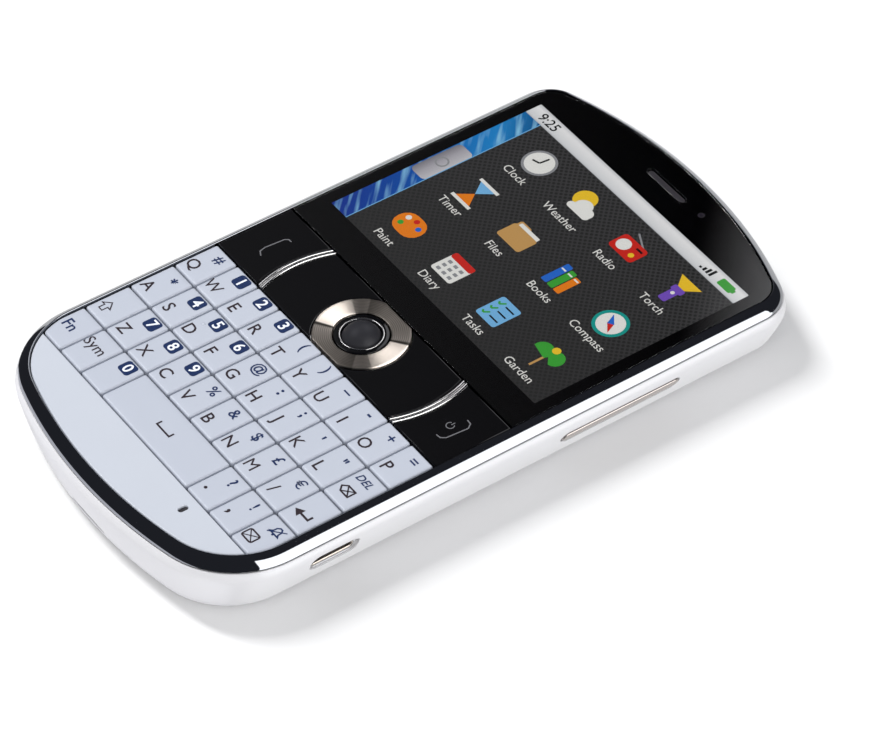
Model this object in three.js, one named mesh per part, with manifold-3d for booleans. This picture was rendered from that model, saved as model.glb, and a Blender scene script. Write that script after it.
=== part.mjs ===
// A bar phone with a four row letter keyboard, a trackball and a landscape screen.
// Millimetres. It lies on its back: +Z is out of the screen, +Y towards the earpiece,
// +X its right-hand side. The origin is the middle of the back face.

import * as THREE from 'three';
import { mergeVertices } from 'three/addons/utils/BufferGeometryUtils.js';
import Module from 'manifold-3d';

const wasm = await Module();
wasm.setup();

// Whole body
const bodyWidth = 62.5;
const bodyLength = 114;
const bodyThickness = 11.5;
const bottomEndRadius = 83;
const topEndRadius = 80;
const bottomCornerRadius = 14.8;
const topCornerRadius = 7.3;
const leastCornerRadius = 0.5;

// Side wall: straight up from the bezel to the widest line, then drawn in to the back
const widestHeight = 9.05;
const sideTaper = 3.5;
const bottomTaper = 1.8;
const topTaper = 3.15;
const taperBendShare = 1.32;
const shoulderInset = 0.1;
const backEdgeRadius = 0.9;

// Stack of layers
const seamHeight = 1.3;
const coverSkin = 0.9;
const webBottomHeight = 5;
const webThickness = 0.7;
const boardBottomHeight = 7.4;
const boardThickness = 0.8;
const sheetThickness = 0.5;
const postHeight = 0.6;
const bezelHeight = 1.55;
const deckDrop = 0.25;
const lensThickness = 1;

// Running gaps and seats
const seatGap = 0.3;
const fitGap = 0.15;
const keyGap = 0.27;
const keyTravel = 0.3;
const travelSpare = 0.05;
const overrun = 2;

// Rear housing
const housingWall = 1.3;
const bayWall = 0.8;
const bossRadius = 2.4;
const screwRadius = 1.1;
const screwHeadRadius = 1.9;
const screwHeadDepth = 1;
const topBossSideInset = 7.25;
const topBossInset = 11.5;
const bottomBossSideInset = 10.75;
const bottomBossInset = 9.5;
const nailSlotWidth = 8.7;
const nailSlotHeight = 0.45;
const nailSlotDepth = 0.9;

// Battery cover
const coverRim = 1.2;
const edgeRiseShares = [0, 0.12, 0.45, 1];
const tabWidth = 6;
const tabThickness = 0.8;
const tabHeight = 1.6;
const tabPlaceShares = [-0.56, 0, 0.56];
const slotCount = 5;
const slotPitch = 2;
const slotWidth = 1;
const slotLength = 7;

// Battery
const batterySideInset = 10.25;
const batteryBottomInset = 15;
const batteryTopInset = 45;
const batteryClearance = 0.2;
const batteryCornerRadius = 1.5;
const batteryEdge = 0.5;

// Bezel: how far its edges lie inside the body's widest outline
const bezelWidth = 2.45;
const bezelLip = 0.2;
const bezelRebate = 0.32;
const bezelRebateHeight = 0.16;
const bezelCrestShares = [0.02, 0.08, 0.2, 0.4, 0.64, 0.85];

// Letter keys
const columnCount = 10;
const rowCount = 4;
const spaceColumnCount = 4;
const keyPitchY = 7.893;
const chinLength = 11.43;
const keyCornerRadius = 0.35;
const keyCrownWidth = 1.1;
const keyCrownHeight = 0.4;
const crownInsetShares = [0, 0.25, 1];
const crownDropShares = [1, 0.25, 0];
const postWidthShare = 0.45;
const postLengthShare = 0.4;
const deckEdge = 0.2;

// Microphone
const micSideInset = 16.45;
const micDrop = 2.5;
const micLength = 1.6;
const micWidth = 0.85;

// Navigation panel
const navLength = 13.6;
const navKeyDrop = 0.08;
const ringOuterRadius = 7.48;
const ringInnerRadius = 4.44;
const ringProud = 0.1;
const ringDish = 0.12;
const ringChamfer = 0.15;
const arcRadius = 18.4;
const arcWidth = 1.2;
const arcProud = 0.08;
const arcGrooveWidth = 0.3;
const arcGrooveDepth = 0.25;
const trimBase = 0.5;
const navPostRadius = 1.6;
const postWindowGap = 0.4;

// Trackball and its frame
const ballRadius = 3.3;
const ballMouthDrop = 0.3;
const ballVisibleRadius = 2.94;
const ballGap = 0.15;
const frameRadius = 4.2;
const lipInnerRadius = 3.2;
const lipWidth = 0.25;
const lipHeight = 0.12;
const frameDrop = 0.1;

// Display
const screenSideInset = 4.85;
const screenTopInset = 12.098;
const screenOffset = 5.7;
const panelSideBorder = 1.8;
const panelTopBorder = 1.3;
const panelBottomBorder = 4.2;
const panelRecess = 0.15;
const panelCornerRadius = 0.6;

// Earpiece
const earpieceInset = 7.55;
const earpieceSlotLength = 9;
const earpieceSlotWidth = 1.3;
const earpieceWidth = 12;
const earpieceLength = 5.4;
const earpieceCornerRadius = 1.2;
const meshDrop = 0.3;

// Volume rocker
const rockerLength = 21.3;
const rockerHeight = 1.9;
const rockerGap = 0.25;
const rockerProud = 0.15;
const rockerMiddleInset = 38.6;
const rockerZ = 5.25;
const rockerFlangeLength = 23;
const rockerFlangeHeight = 3.2;
const rockerFlangeThickness = 1;
const rockerWallGap = 0.4;
const rockerNose = 0.5;
const rockerNoseWidth = 1.2;
const rockerPostWidth = 3;
const rockerPostThickness = 1;

// Charging socket
const socketWidth = 7.5;
const socketHeight = 2.6;
const socketDepth = 5;
const socketWall = 0.3;
const socketTongueWidth = 4.6;
const socketTongueHeight = 0.6;
const socketCornerRadius = 0.9;
const socketMiddle = 24.4;
const socketZ = 5.75;
const socketMouth = 8.4;
const socketMouthHeight = 3.3;
const socketMouthDepth = 1;

// Headset socket
const jackSideInset = 16.25;
const jackWidth = 6.2;
const jackLength = 12;
const jackInset = 4.6;
const jackBottomHeight = 2.6;
const jackNoseRadius = 2.3;
const jackBoreRadius = 1.8;
const jackFaceDrop = 0.25;

// Camera
const cameraInset = 13;
const cameraWidth = 8.4;
const cameraBarrelRadius = 3.1;
const cameraRecess = 0.2;
const cameraLensRadius = 2;
const cameraLensDepth = 0.4;
const cameraHoleGap = 0.4;

// Loudspeaker
const speakerSideInset = 18.25;
const speakerInset = 27;
const speakerWidth = 16;
const speakerLength = 11;
const speakerCornerRadius = 2;
const speakerFaceGap = 0.7;
const speakerConeRadius = 4.2;
const speakerConeDepth = 0.6;

// Main board fittings
const cardHolderSideInset = 18.75;
const cardHolderInset = 28;
const cardHolderWidth = 16;
const cardHolderLength = 13;
const cardHolderHeight = 1.5;
const contactWidth = 9;
const contactLength = 1.6;
const contactReach = 3.6;
const shieldHeight = 1.3;
const shieldMiddleInset = 2;
const shieldSideInset = 12.25;
const shieldLength = 22;
const shieldTopInset = 35.8;

// Steps that round the curves
const cornerSteps = 6;
const endSteps = 6;
const keyCornerSteps = 2;
const roundSteps = 44;
const holeSteps = 16;
const tubeSteps = 6;
const wallSteps = 4;
const seatSteps = 3;
const ballSteps = 20;

// Heights that follow from the stack
const bezelSeatZ = bodyThickness - bezelHeight;
const deckZ = bodyThickness - deckDrop;
const webTopZ = webBottomHeight + webThickness;
const boardTopZ = boardBottomHeight + boardThickness;
const sheetTopZ = boardTopZ + sheetThickness;
const postTopZ = sheetTopZ + postHeight;
const keyBottomZ = postTopZ + keyTravel + travelSpare;
const keyHeight = deckZ - keyBottomZ;
const lensBottomZ = deckZ - lensThickness;
const trimTopZ = sheetTopZ + trimBase;
const ballMouthZ = deckZ - ballMouthDrop;
const ballZ = ballMouthZ - Math.sqrt(ballRadius ** 2 - ballVisibleRadius ** 2);

// Places along the length, from the bottom end up
const bottomEndY = -bodyLength / 2;
const topEndY = bodyLength / 2;
const keysBottomY = bottomEndY + chinLength;
const keysTopY = keysBottomY + rowCount * keyPitchY;
const navTopY = keysTopY + navLength;
const ringY = (keysTopY + navTopY) / 2;
const screenBottomY = navTopY + screenOffset;
const screenTopY = topEndY - screenTopInset;
const screenLength = screenTopY - screenBottomY;
const screenY = (screenTopY + screenBottomY) / 2;
const earpieceY = topEndY - earpieceInset;
const rockerY = topEndY - rockerMiddleInset;
const socketY = bottomEndY + socketMiddle;
const batteryBottomY = bottomEndY + batteryBottomInset;
const batteryTopY = topEndY - batteryTopInset;
const batteryLength = batteryTopY - batteryBottomY;
const batteryY = (batteryTopY + batteryBottomY) / 2;
const cameraY = topEndY - cameraInset;
const speakerY = topEndY - speakerInset;

// Places and widths across, from the sides in
const deckHalfWidth = bodyWidth / 2 - bezelWidth;
const keyPitchX = 2 * (deckHalfWidth - fitGap) / columnCount;
const screenWidth = bodyWidth - 2 * screenSideInset;
const batteryWidth = bodyWidth - 2 * batterySideInset;
const topBossX = bodyWidth / 2 - topBossSideInset;
const bottomBossX = bodyWidth / 2 - bottomBossSideInset;
const micX = bodyWidth / 2 - micSideInset;
const jackX = bodyWidth / 2 - jackSideInset;
const speakerX = speakerSideInset - bodyWidth / 2;
const cardHolderX = bodyWidth / 2 - cardHolderSideInset;
const shieldWidth = bodyWidth / 2 - shieldSideInset - shieldMiddleInset;
const shieldX = shieldMiddleInset + shieldWidth / 2;

// Finishes
const finishes = {
  pearl: { color: 0xdde3ee, roughness: 0.32, metalness: 0 },
  white: { color: 0xf1f0f2, roughness: 0.22, metalness: 0 },
  chrome: { color: 0xe3e4e8, roughness: 0.06, metalness: 1 },
  blackGloss: { color: 0x0b0b0d, roughness: 0.12, metalness: 0 },
  champagne: { color: 0xb9a99d, roughness: 0.34, metalness: 1 },
  darkBall: { color: 0x1e1e22, roughness: 0.4, metalness: 0 },
  window: { color: 0x101013, roughness: 0.04, metalness: 0 },
  panel: { color: 0x2f3133, roughness: 0.4, metalness: 0.2 },
  silicone: { color: 0x2a3038, roughness: 0.8, metalness: 0 },
  board: { color: 0x1f5b3a, roughness: 0.55, metalness: 0.1 },
  battery: { color: 0x35373b, roughness: 0.5, metalness: 0 },
  steel: { color: 0xb4b2ae, roughness: 0.3, metalness: 1 },
  blackPlastic: { color: 0x18181a, roughness: 0.5, metalness: 0 },
};

const phone = new THREE.Group();

// Adds one named piece, from a geometry or a solid, at its place.
function addPiece(name, form, finish, x = 0, y = 0, z = 0) {
  const geometry = form.isBufferGeometry ? form : toGeometry(form);
  const mesh = new THREE.Mesh(geometry, new THREE.MeshStandardMaterial(finishes[finish]));
  mesh.name = name;
  mesh.position.set(x, y, z);
  phone.add(mesh);
}

// A closed geometry as a solid that can be cut and joined.
function toSolid(geometry) {
  const bare = geometry.clone();
  bare.deleteAttribute('normal');
  bare.deleteAttribute('uv');
  const merged = mergeVertices(bare);
  return new wasm.Manifold(new wasm.Mesh({
    numProp: 3,
    vertProperties: new Float32Array(merged.attributes.position.array),
    triVerts: new Uint32Array(merged.index.array),
  }));
}

// A solid back as a geometry.
function toGeometry(solid) {
  const mesh = solid.getMesh();
  const geometry = new THREE.BufferGeometry();
  geometry.setAttribute('position', new THREE.BufferAttribute(mesh.vertProperties, 3));
  geometry.setIndex(new THREE.BufferAttribute(mesh.triVerts, 1));
  geometry.computeVertexNormals();
  return geometry;
}

function join(...solids) {
  return solids.reduce((whole, solid) => whole.add(solid));
}

function cut(solid, ...tools) {
  return tools.reduce((rest, tool) => rest.subtract(tool), solid);
}

// Points along an arc in the plan, both ends included.
function arc(x, y, radius, from, to, steps) {
  const points = [];
  for (let step = 0; step <= steps; step += 1) {
    const angle = from + (to - from) * step / steps;
    points.push(new THREE.Vector2(x + radius * Math.cos(angle), y + radius * Math.sin(angle)));
  }
  return points;
}

// The corner arcs and the end arc of one end, met in tangents; toward is 1 at the top.
function endArcs(halfWidth, apexY, endRadius, cornerRadius, toward) {
  const corner = Math.max(cornerRadius, leastCornerRadius);
  const cornerX = halfWidth - corner;
  const endY = apexY - toward * endRadius;
  const reach = Math.sqrt((endRadius - corner) ** 2 - cornerX ** 2);
  const cornerY = endY + toward * reach;
  const lean = Math.atan2(reach, cornerX);
  const start = toward > 0 ? 0 : Math.PI;
  const near = toward > 0 ? 1 : -1;
  return [
    ...arc(near * cornerX, cornerY, corner, start, start + lean, cornerSteps),
    ...arc(0, endY, endRadius, start + lean, start + Math.PI - lean, endSteps).slice(1, -1),
    ...arc(-near * cornerX, cornerY, corner, start + Math.PI - lean, start + Math.PI, cornerSteps),
  ];
}

// The body's plan outline, drawn in by an inset at its sides and each end.
function bodyOutline(side, bottom = side, top = side) {
  const halfWidth = bodyWidth / 2 - side;
  const topCorner = topCornerRadius - (side + top) / 2;
  const bottomCorner = bottomCornerRadius - (side + bottom) / 2;
  return [
    ...endArcs(halfWidth, topEndY - top, topEndRadius - top, topCorner, 1),
    ...endArcs(halfWidth, bottomEndY + bottom, bottomEndRadius - bottom, bottomCorner, -1),
  ];
}

// How far the outer wall lies inside the widest outline at a height.
function wallInset(height) {
  const below = Math.max(widestHeight - height, 0) / widestHeight;
  const above = Math.max(height - widestHeight, 0) / (bezelSeatZ - widestHeight);
  const rise = Math.min(height, backEdgeRadius);
  const edge = backEdgeRadius - Math.sqrt(backEdgeRadius ** 2 - (backEdgeRadius - rise) ** 2);
  const drawn = below ** taperBendShare;
  const round = shoulderInset * above ** 2 + edge;
  return {
    side: sideTaper * drawn + round,
    bottom: bottomTaper * drawn + round,
    top: topTaper * drawn + round,
  };
}

// The outer wall's outline at a height, moved in by a wall thickness.
function wallRing(height, inward = 0) {
  const inset = wallInset(height);
  return {
    z: height,
    points: bodyOutline(inset.side + inward, inset.bottom + inward, inset.top + inward),
  };
}

// A skin through rings of equal counts; closed wraps the last ring to the first.
function skin(rings, closed) {
  const count = rings[0].points.length;
  const positions = rings.flatMap((ring) => ring.points.flatMap((point) => [point.x, point.y, ring.z]));
  const triangles = [];
  const spans = closed ? rings.length : rings.length - 1;
  for (let level = 0; level < spans; level += 1) {
    const lower = level * count;
    const upper = ((level + 1) % rings.length) * count;
    for (let index = 0; index < count; index += 1) {
      const next = (index + 1) % count;
      triangles.push(lower + index, lower + next, upper + next);
      triangles.push(lower + index, upper + next, upper + index);
    }
  }
  if (!closed) {
    const last = (rings.length - 1) * count;
    for (const face of THREE.ShapeUtils.triangulateShape(rings[0].points, [])) {
      triangles.push(face[0], face[2], face[1]);
    }
    for (const face of THREE.ShapeUtils.triangulateShape(rings.at(-1).points, [])) {
      triangles.push(last + face[0], last + face[1], last + face[2]);
    }
  }
  const geometry = new THREE.BufferGeometry();
  geometry.setAttribute('position', new THREE.Float32BufferAttribute(positions, 3));
  geometry.setIndex(triangles);
  geometry.computeVertexNormals();
  return geometry;
}

// A closed solid lofted through rings that climb in z.
function loft(rings) {
  return toSolid(skin(rings, false));
}

// A straight-walled solid on an outline.
function prism(points, bottomZ, topZ) {
  return loft([{ z: bottomZ, points }, { z: topZ, points }]);
}

// A rectangle with round corners, in the plan, about a middle.
function roundRectangle(width, length, radius, steps, x = 0, y = 0) {
  const corner = Math.min(radius, width / 2, length / 2);
  const reachX = width / 2 - corner;
  const reachY = length / 2 - corner;
  const quarter = Math.PI / 2;
  const spots = [[1, 1], [-1, 1], [-1, -1], [1, -1]];
  return spots.flatMap(([signX, signY], index) => arc(
    x + signX * reachX,
    y + signY * reachY,
    corner,
    index * quarter,
    (index + 1) * quarter,
    steps,
  ));
}

// A plain block between two corners.
function block(fromX, toX, fromY, toY, fromZ, toZ) {
  const box = new THREE.BoxGeometry(toX - fromX, toY - fromY, toZ - fromZ);
  box.translate((fromX + toX) / 2, (fromY + toY) / 2, (fromZ + toZ) / 2);
  return toSolid(box);
}

// A block about a middle in the plan.
function blockAt(x, y, width, length, fromZ, toZ) {
  return block(x - width / 2, x + width / 2, y - length / 2, y + length / 2, fromZ, toZ);
}

// An upright cylinder.
function post(x, y, radius, fromZ, toZ, steps = holeSteps) {
  const cylinder = new THREE.CylinderGeometry(radius, radius, toZ - fromZ, steps);
  cylinder.rotateX(Math.PI / 2);
  cylinder.translate(x, y, (fromZ + toZ) / 2);
  return toSolid(cylinder);
}

// A prism on a plan outline laid on its side, so that it runs along X; plan y stays y, plan x is height.
function sideways(outline, fromX, toX, y, z) {
  const bar = skin([{ z: fromX, points: outline }, { z: toX, points: outline }], false);
  bar.rotateY(Math.PI / 2);
  bar.translate(0, y, z);
  return toSolid(bar);
}

// A solid of revolution about the upright axis through a plan point.
function turned(profile, x, y, steps = roundSteps) {
  const lathe = new THREE.LatheGeometry(profile, steps);
  lathe.rotateX(Math.PI / 2);
  lathe.translate(x, y, 0);
  return toSolid(lathe);
}

// A crowned cap: straight sides, then its top edge rolled over towards a flat middle.
function crowned(ringAt, bottomZ, topZ, crownWidth, crownHeight) {
  const rings = [{ z: bottomZ, points: ringAt(0) }];
  crownInsetShares.forEach((share, index) => {
    rings.push({
      z: topZ - crownDropShares[index] * crownHeight,
      points: ringAt(share * crownWidth),
    });
  });
  return loft(rings);
}

// The deck is what lies inside the bezel; this is its outline, drawn in by a clearance.
function deckOutline(inward) {
  return bodyOutline(bezelWidth + inward);
}

// Everything on one side of a line across the phone, as a cutting block.
function beyond(y, direction) {
  const farY = y + direction * bodyLength;
  const nearY = Math.min(y, farY);
  return block(-bodyWidth, bodyWidth, nearY, Math.max(y, farY), -overrun, bodyThickness + overrun);
}

// Letter keyboard layout, a row a line; every key is one column wide but the space key
const keyRows = [
  ['q', 'w', 'e', 'r', 't', 'y', 'u', 'i', 'o', 'p'],
  ['a', 's', 'd', 'f', 'g', 'h', 'j', 'k', 'l', 'delete'],
  ['shift', 'z', 'x', 'c', 'v', 'b', 'n', 'm', 'slash', 'enter'],
  ['fn', 'sym', 'zero', 'space', 'period', 'comma', 'message'],
];
const keysLeftX = -columnCount * keyPitchX / 2;

// The middle and the width of every letter key.
function letterKeys() {
  const keys = [];
  keyRows.forEach((row, rowIndex) => {
    const y = keysTopY - (rowIndex + 1 / 2) * keyPitchY;
    let column = 0;
    for (const name of row) {
      const span = name === 'space' ? spaceColumnCount : 1;
      const x = keysLeftX + (column + span / 2) * keyPitchX;
      const edge = column === 0 || column + span === columnCount;
      keys.push({ name, x, y, width: span * keyPitchX - keyGap, edge });
      column += span;
    }
  });
  return keys;
}

// Letter keys; the outer ones are trimmed to the curve of the bezel
function makeLetterKeys() {
  const length = keyPitchY - keyGap;
  const deck = prism(deckOutline(fitGap), keyBottomZ - overrun, deckZ + overrun);
  for (const key of letterKeys()) {
    const outlineAt = (inward) => roundRectangle(
      key.width - 2 * inward,
      length - 2 * inward,
      keyCornerRadius,
      keyCornerSteps,
    );
    const cap = crowned(outlineAt, 0, keyHeight, keyCrownWidth, keyCrownHeight);
    const form = key.edge ? cap.intersect(deck.translate(-key.x, -key.y, -keyBottomZ)) : cap;
    addPiece(`${key.name}_key`, form, 'pearl', key.x, key.y, keyBottomZ);
  }
}

// Chin plate below the keys, with the microphone hole
function makeChin() {
  const edgeY = keysBottomY - keyGap / 2;
  const plate = crowned((inward) => deckOutline(fitGap + inward), sheetTopZ, deckZ, deckEdge, deckEdge);
  const mic = prism(
    roundRectangle(micWidth, micLength, micWidth, tubeSteps, micX, keysBottomY - micDrop),
    sheetTopZ - overrun,
    deckZ + overrun,
  );
  addPiece('chin_plate', cut(plate, beyond(edgeY, 1), mic), 'pearl');
}

// Middles of the four navigation keys' posts, from left to right
const innerPostX = (ringOuterRadius + arcRadius) / 2;
const outerPostX = (arcRadius + deckHalfWidth) / 2;
const navPostX = [-outerPostX, -innerPostX, innerPostX, outerPostX];

// Four navigation keys, cut by the two arcs and the ring
function makeNavKeys() {
  const topZ = deckZ - navKeyDrop;
  const length = navLength - keyGap;
  const halfWidth = deckHalfWidth - fitGap;
  const slabAt = (inward) => roundRectangle(
    2 * (halfWidth - inward),
    length - 2 * inward,
    keyCornerRadius,
    keyCornerSteps,
    0,
    ringY,
  );
  const slab = crowned(slabAt, keyBottomZ, topZ, deckEdge, deckEdge);
  const roundCut = (radius) => post(0, ringY, radius, keyBottomZ - overrun, topZ + overrun, roundSteps);
  const inside = roundCut(arcRadius - arcWidth / 2 - fitGap);
  const around = roundCut(arcRadius + arcWidth / 2 + fitGap);
  const ring = roundCut(ringOuterRadius + fitGap);
  const left = block(-bodyWidth, 0, bottomEndY, topEndY, 0, bodyThickness + overrun);
  const right = block(0, bodyWidth, bottomEndY, topEndY, 0, bodyThickness + overrun);
  const outer = slab.subtract(around);
  const inner = slab.intersect(inside).subtract(ring);
  addPiece('call_key', outer.intersect(left), 'blackGloss');
  addPiece('menu_key', inner.intersect(left), 'blackGloss');
  addPiece('back_key', inner.intersect(right), 'blackGloss');
  addPiece('end_key', outer.intersect(right), 'blackGloss');
}

// One bright arc of the trim, with its groove along the top
function trimArc(side) {
  const outer = arcRadius + arcWidth / 2;
  const inner = arcRadius - arcWidth / 2;
  const topZ = deckZ + arcProud;
  const profile = [
    [inner, sheetTopZ], [outer, sheetTopZ], [outer, topZ],
    [arcRadius + arcGrooveWidth / 2, topZ], [arcRadius, topZ - arcGrooveDepth],
    [arcRadius - arcGrooveWidth / 2, topZ], [inner, topZ], [inner, sheetTopZ],
  ].map(([radius, z]) => new THREE.Vector2(radius, z));
  const ring = turned(profile, 0, ringY);
  const reach = bodyWidth;
  const band = block(
    Math.min(0, side * reach),
    Math.max(0, side * reach),
    keysTopY + keyGap / 2,
    navTopY - keyGap / 2,
    0,
    bodyThickness + overrun,
  );
  return ring.intersect(band);
}

// Bright trim: two arcs on one base plate that also carries the ring
function makeNavTrim() {
  const base = prism(
    roundRectangle(
      2 * (deckHalfWidth - fitGap),
      navLength - keyGap,
      keyCornerRadius,
      keyCornerSteps,
      0,
      ringY,
    ),
    sheetTopZ,
    trimTopZ,
  );
  const windows = navPostX.map((x) => post(
    x,
    ringY,
    navPostRadius + postWindowGap,
    sheetTopZ - overrun,
    trimTopZ + overrun,
  ));
  const ballHole = post(0, ringY, ringInnerRadius, sheetTopZ - overrun, trimTopZ + overrun);
  const trim = cut(join(base, trimArc(-1), trimArc(1)), ballHole, ...windows);
  addPiece('nav_trim', trim, 'chrome');
}

// Turned ring round the trackball, with a flat across each side where the panel ends
function makeNavRing() {
  const topZ = deckZ + ringProud;
  const profile = [
    [ringInnerRadius, trimTopZ],
    [ringOuterRadius, trimTopZ],
    [ringOuterRadius, topZ - ringChamfer],
    [ringOuterRadius - ringChamfer, topZ],
    [ringInnerRadius + ringChamfer, topZ - ringDish],
    [ringInnerRadius, topZ - ringDish - ringChamfer],
    [ringInnerRadius, trimTopZ],
  ].map(([radius, z]) => new THREE.Vector2(radius, z));
  const band = block(
    -bodyWidth,
    bodyWidth,
    keysTopY + keyGap / 2,
    navTopY - keyGap / 2,
    0,
    bodyThickness + overrun,
  );
  addPiece('nav_ring', turned(profile, 0, ringY).intersect(band), 'champagne');
}

// Frame that holds the ball in a round seat and clicks down with it
function makeTrackball() {
  const topZ = deckZ - frameDrop;
  const bottomZ = boardTopZ + keyTravel + travelSpare;
  const seatRadius = ballRadius + ballGap;
  const mouthAngle = Math.asin((ballMouthZ - ballZ) / seatRadius);
  const bottomAngle = Math.asin((bottomZ - ballZ) / seatRadius);
  const profile = [
    [frameRadius, bottomZ],
    [frameRadius, topZ],
    [lipInnerRadius + lipWidth, topZ],
    [lipInnerRadius + lipWidth, topZ + lipHeight],
    [lipInnerRadius, topZ + lipHeight],
  ].map(([radius, z]) => new THREE.Vector2(radius, z));
  const seat = arc(0, ballZ, seatRadius, mouthAngle, bottomAngle, seatSteps);
  const closed = [...profile, ...seat, profile[0].clone()];
  addPiece('trackball_frame', turned(closed, 0, ringY), 'blackGloss');
  const ball = new THREE.SphereGeometry(ballRadius, ballSteps, ballSteps / 2);
  addPiece('trackball', toSolid(ball), 'darkBall', 0, ringY, ballZ);
}

// Silicone key sheet with a post under every key
function makeKeypadSheet() {
  const plate = prism(deckOutline(fitGap), boardTopZ, sheetTopZ);
  const ballHole = post(0, ringY, frameRadius + seatGap, boardTopZ - overrun, sheetTopZ + overrun);
  const mic = post(micX, keysBottomY - micDrop, micWidth / 2, boardTopZ - overrun, sheetTopZ + overrun);
  const keyPosts = letterKeys().map((key) => blockAt(
    key.x,
    key.y,
    keyPitchX * postWidthShare,
    keyPitchY * postLengthShare,
    boardTopZ,
    postTopZ,
  ));
  const navPosts = navPostX.map((x) => post(x, ringY, navPostRadius, boardTopZ, postTopZ, tubeSteps * 2));
  const sheet = cut(plate, beyond(navTopY - keyGap / 2, 1), ballHole, mic);
  addPiece('keypad_sheet', join(sheet, ...keyPosts, ...navPosts), 'silicone');
}

// Polished bezel: a rounded hoop outside, a spigot inside the housing wall
function makeBezel() {
  const outerBottomZ = bezelSeatZ + bezelRebateHeight;
  const crestRise = bodyThickness - outerBottomZ;
  const crestReach = bezelWidth - bezelLip - shoulderInset;
  const spigotInset = housingWall + seatGap;
  const profile = [[bezelRebate, bezelSeatZ], [bezelRebate, outerBottomZ], [shoulderInset, outerBottomZ]];
  for (const share of bezelCrestShares) {
    const climb = Math.sqrt(1 - (1 - share) ** 2);
    profile.push([shoulderInset + share * crestReach, outerBottomZ + climb * crestRise]);
  }
  profile.push([bezelWidth - bezelLip, bodyThickness]);
  profile.push([bezelWidth, bodyThickness - bezelLip]);
  profile.push([bezelWidth, boardTopZ]);
  profile.push([spigotInset, boardTopZ]);
  profile.push([spigotInset, bezelSeatZ]);
  const rings = profile.map(([inset, z]) => ({ z, points: bodyOutline(inset) }));
  addPiece('front_bezel', toSolid(skin(rings, true)), 'chrome');
}

// Clear window over the screen, cut along the navigation panel, with the earpiece slot
function makeWindow() {
  const pane = crowned((inward) => deckOutline(fitGap + inward), lensBottomZ, deckZ, deckEdge, deckEdge);
  const slot = prism(
    roundRectangle(
      earpieceSlotLength,
      earpieceSlotWidth,
      earpieceSlotWidth,
      tubeSteps,
      0,
      earpieceY,
    ),
    lensBottomZ - overrun,
    deckZ + overrun,
  );
  addPiece('display_window', cut(pane, beyond(navTopY + keyGap / 2, -1), slot), 'window');
}

// Display panel: a frame up to the window, with the picture area sunk in it
function makePanel() {
  const width = screenWidth + 2 * panelSideBorder;
  const length = screenLength + panelTopBorder + panelBottomBorder;
  const y = screenY + (panelTopBorder - panelBottomBorder) / 2;
  const frame = prism(
    roundRectangle(width, length, panelCornerRadius, keyCornerSteps, 0, y),
    boardTopZ,
    lensBottomZ,
  );
  const picture = blockAt(
    0,
    screenY,
    screenWidth,
    screenLength,
    lensBottomZ - panelRecess,
    lensBottomZ + overrun,
  );
  addPiece('lcd_panel', cut(frame, picture), 'panel');
}

// Earpiece capsule under the window, its mesh standing in the slot
function makeEarpiece() {
  const capsule = prism(
    roundRectangle(
      earpieceWidth,
      earpieceLength,
      earpieceCornerRadius,
      keyCornerSteps,
      0,
      earpieceY,
    ),
    boardTopZ,
    lensBottomZ,
  );
  const meshBar = prism(
    roundRectangle(
      earpieceSlotLength - 2 * fitGap,
      earpieceSlotWidth - 2 * fitGap,
      earpieceSlotWidth,
      tubeSteps,
      0,
      earpieceY,
    ),
    boardTopZ,
    deckZ - meshDrop,
  );
  addPiece('earpiece', join(capsule, meshBar), 'blackPlastic');
}

// Places of the housing's screw bosses
const bossPlaces = [
  [-topBossX, topEndY - topBossInset],
  [topBossX, topEndY - topBossInset],
  [-bottomBossX, bottomEndY + bottomBossInset],
  [bottomBossX, bottomEndY + bottomBossInset],
];

// A full outer form of the body between two heights, moved in by a wall.
function bodyForm(heights, inward) {
  return loft(heights.map((height) => wallRing(height, inward)));
}

// Heights between two levels, in equal steps, for a loft.
function levels(from, to, steps) {
  return Array.from({ length: steps + 1 }, (_, index) => from + (to - from) * index / steps);
}

// A wall that stands round a pocket, up to the web.
function pocketWall(x, y, width, length, bottomZ) {
  const topZ = webBottomHeight + webThickness / 2;
  return blockAt(x, y, width + 2 * bayWall, length + 2 * bayWall, bottomZ, topZ);
}

const pocketSizes = {
  battery: [0, batteryY, batteryWidth + 2 * batteryClearance, batteryLength + 2 * batteryClearance],
  camera: [0, cameraY, cameraWidth + 2 * seatGap, cameraWidth + 2 * seatGap],
  speaker: [speakerX, speakerY, speakerWidth + 2 * seatGap, speakerLength + 2 * seatGap],
};

// Where the headset socket's block lies along the phone
const jackY = topEndY - jackInset - jackLength / 2;
const cardHolderY = topEndY - cardHolderInset;
const contactY = batteryY + batteryLength / 2 + batteryClearance + seatGap + contactLength / 2;

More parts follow.
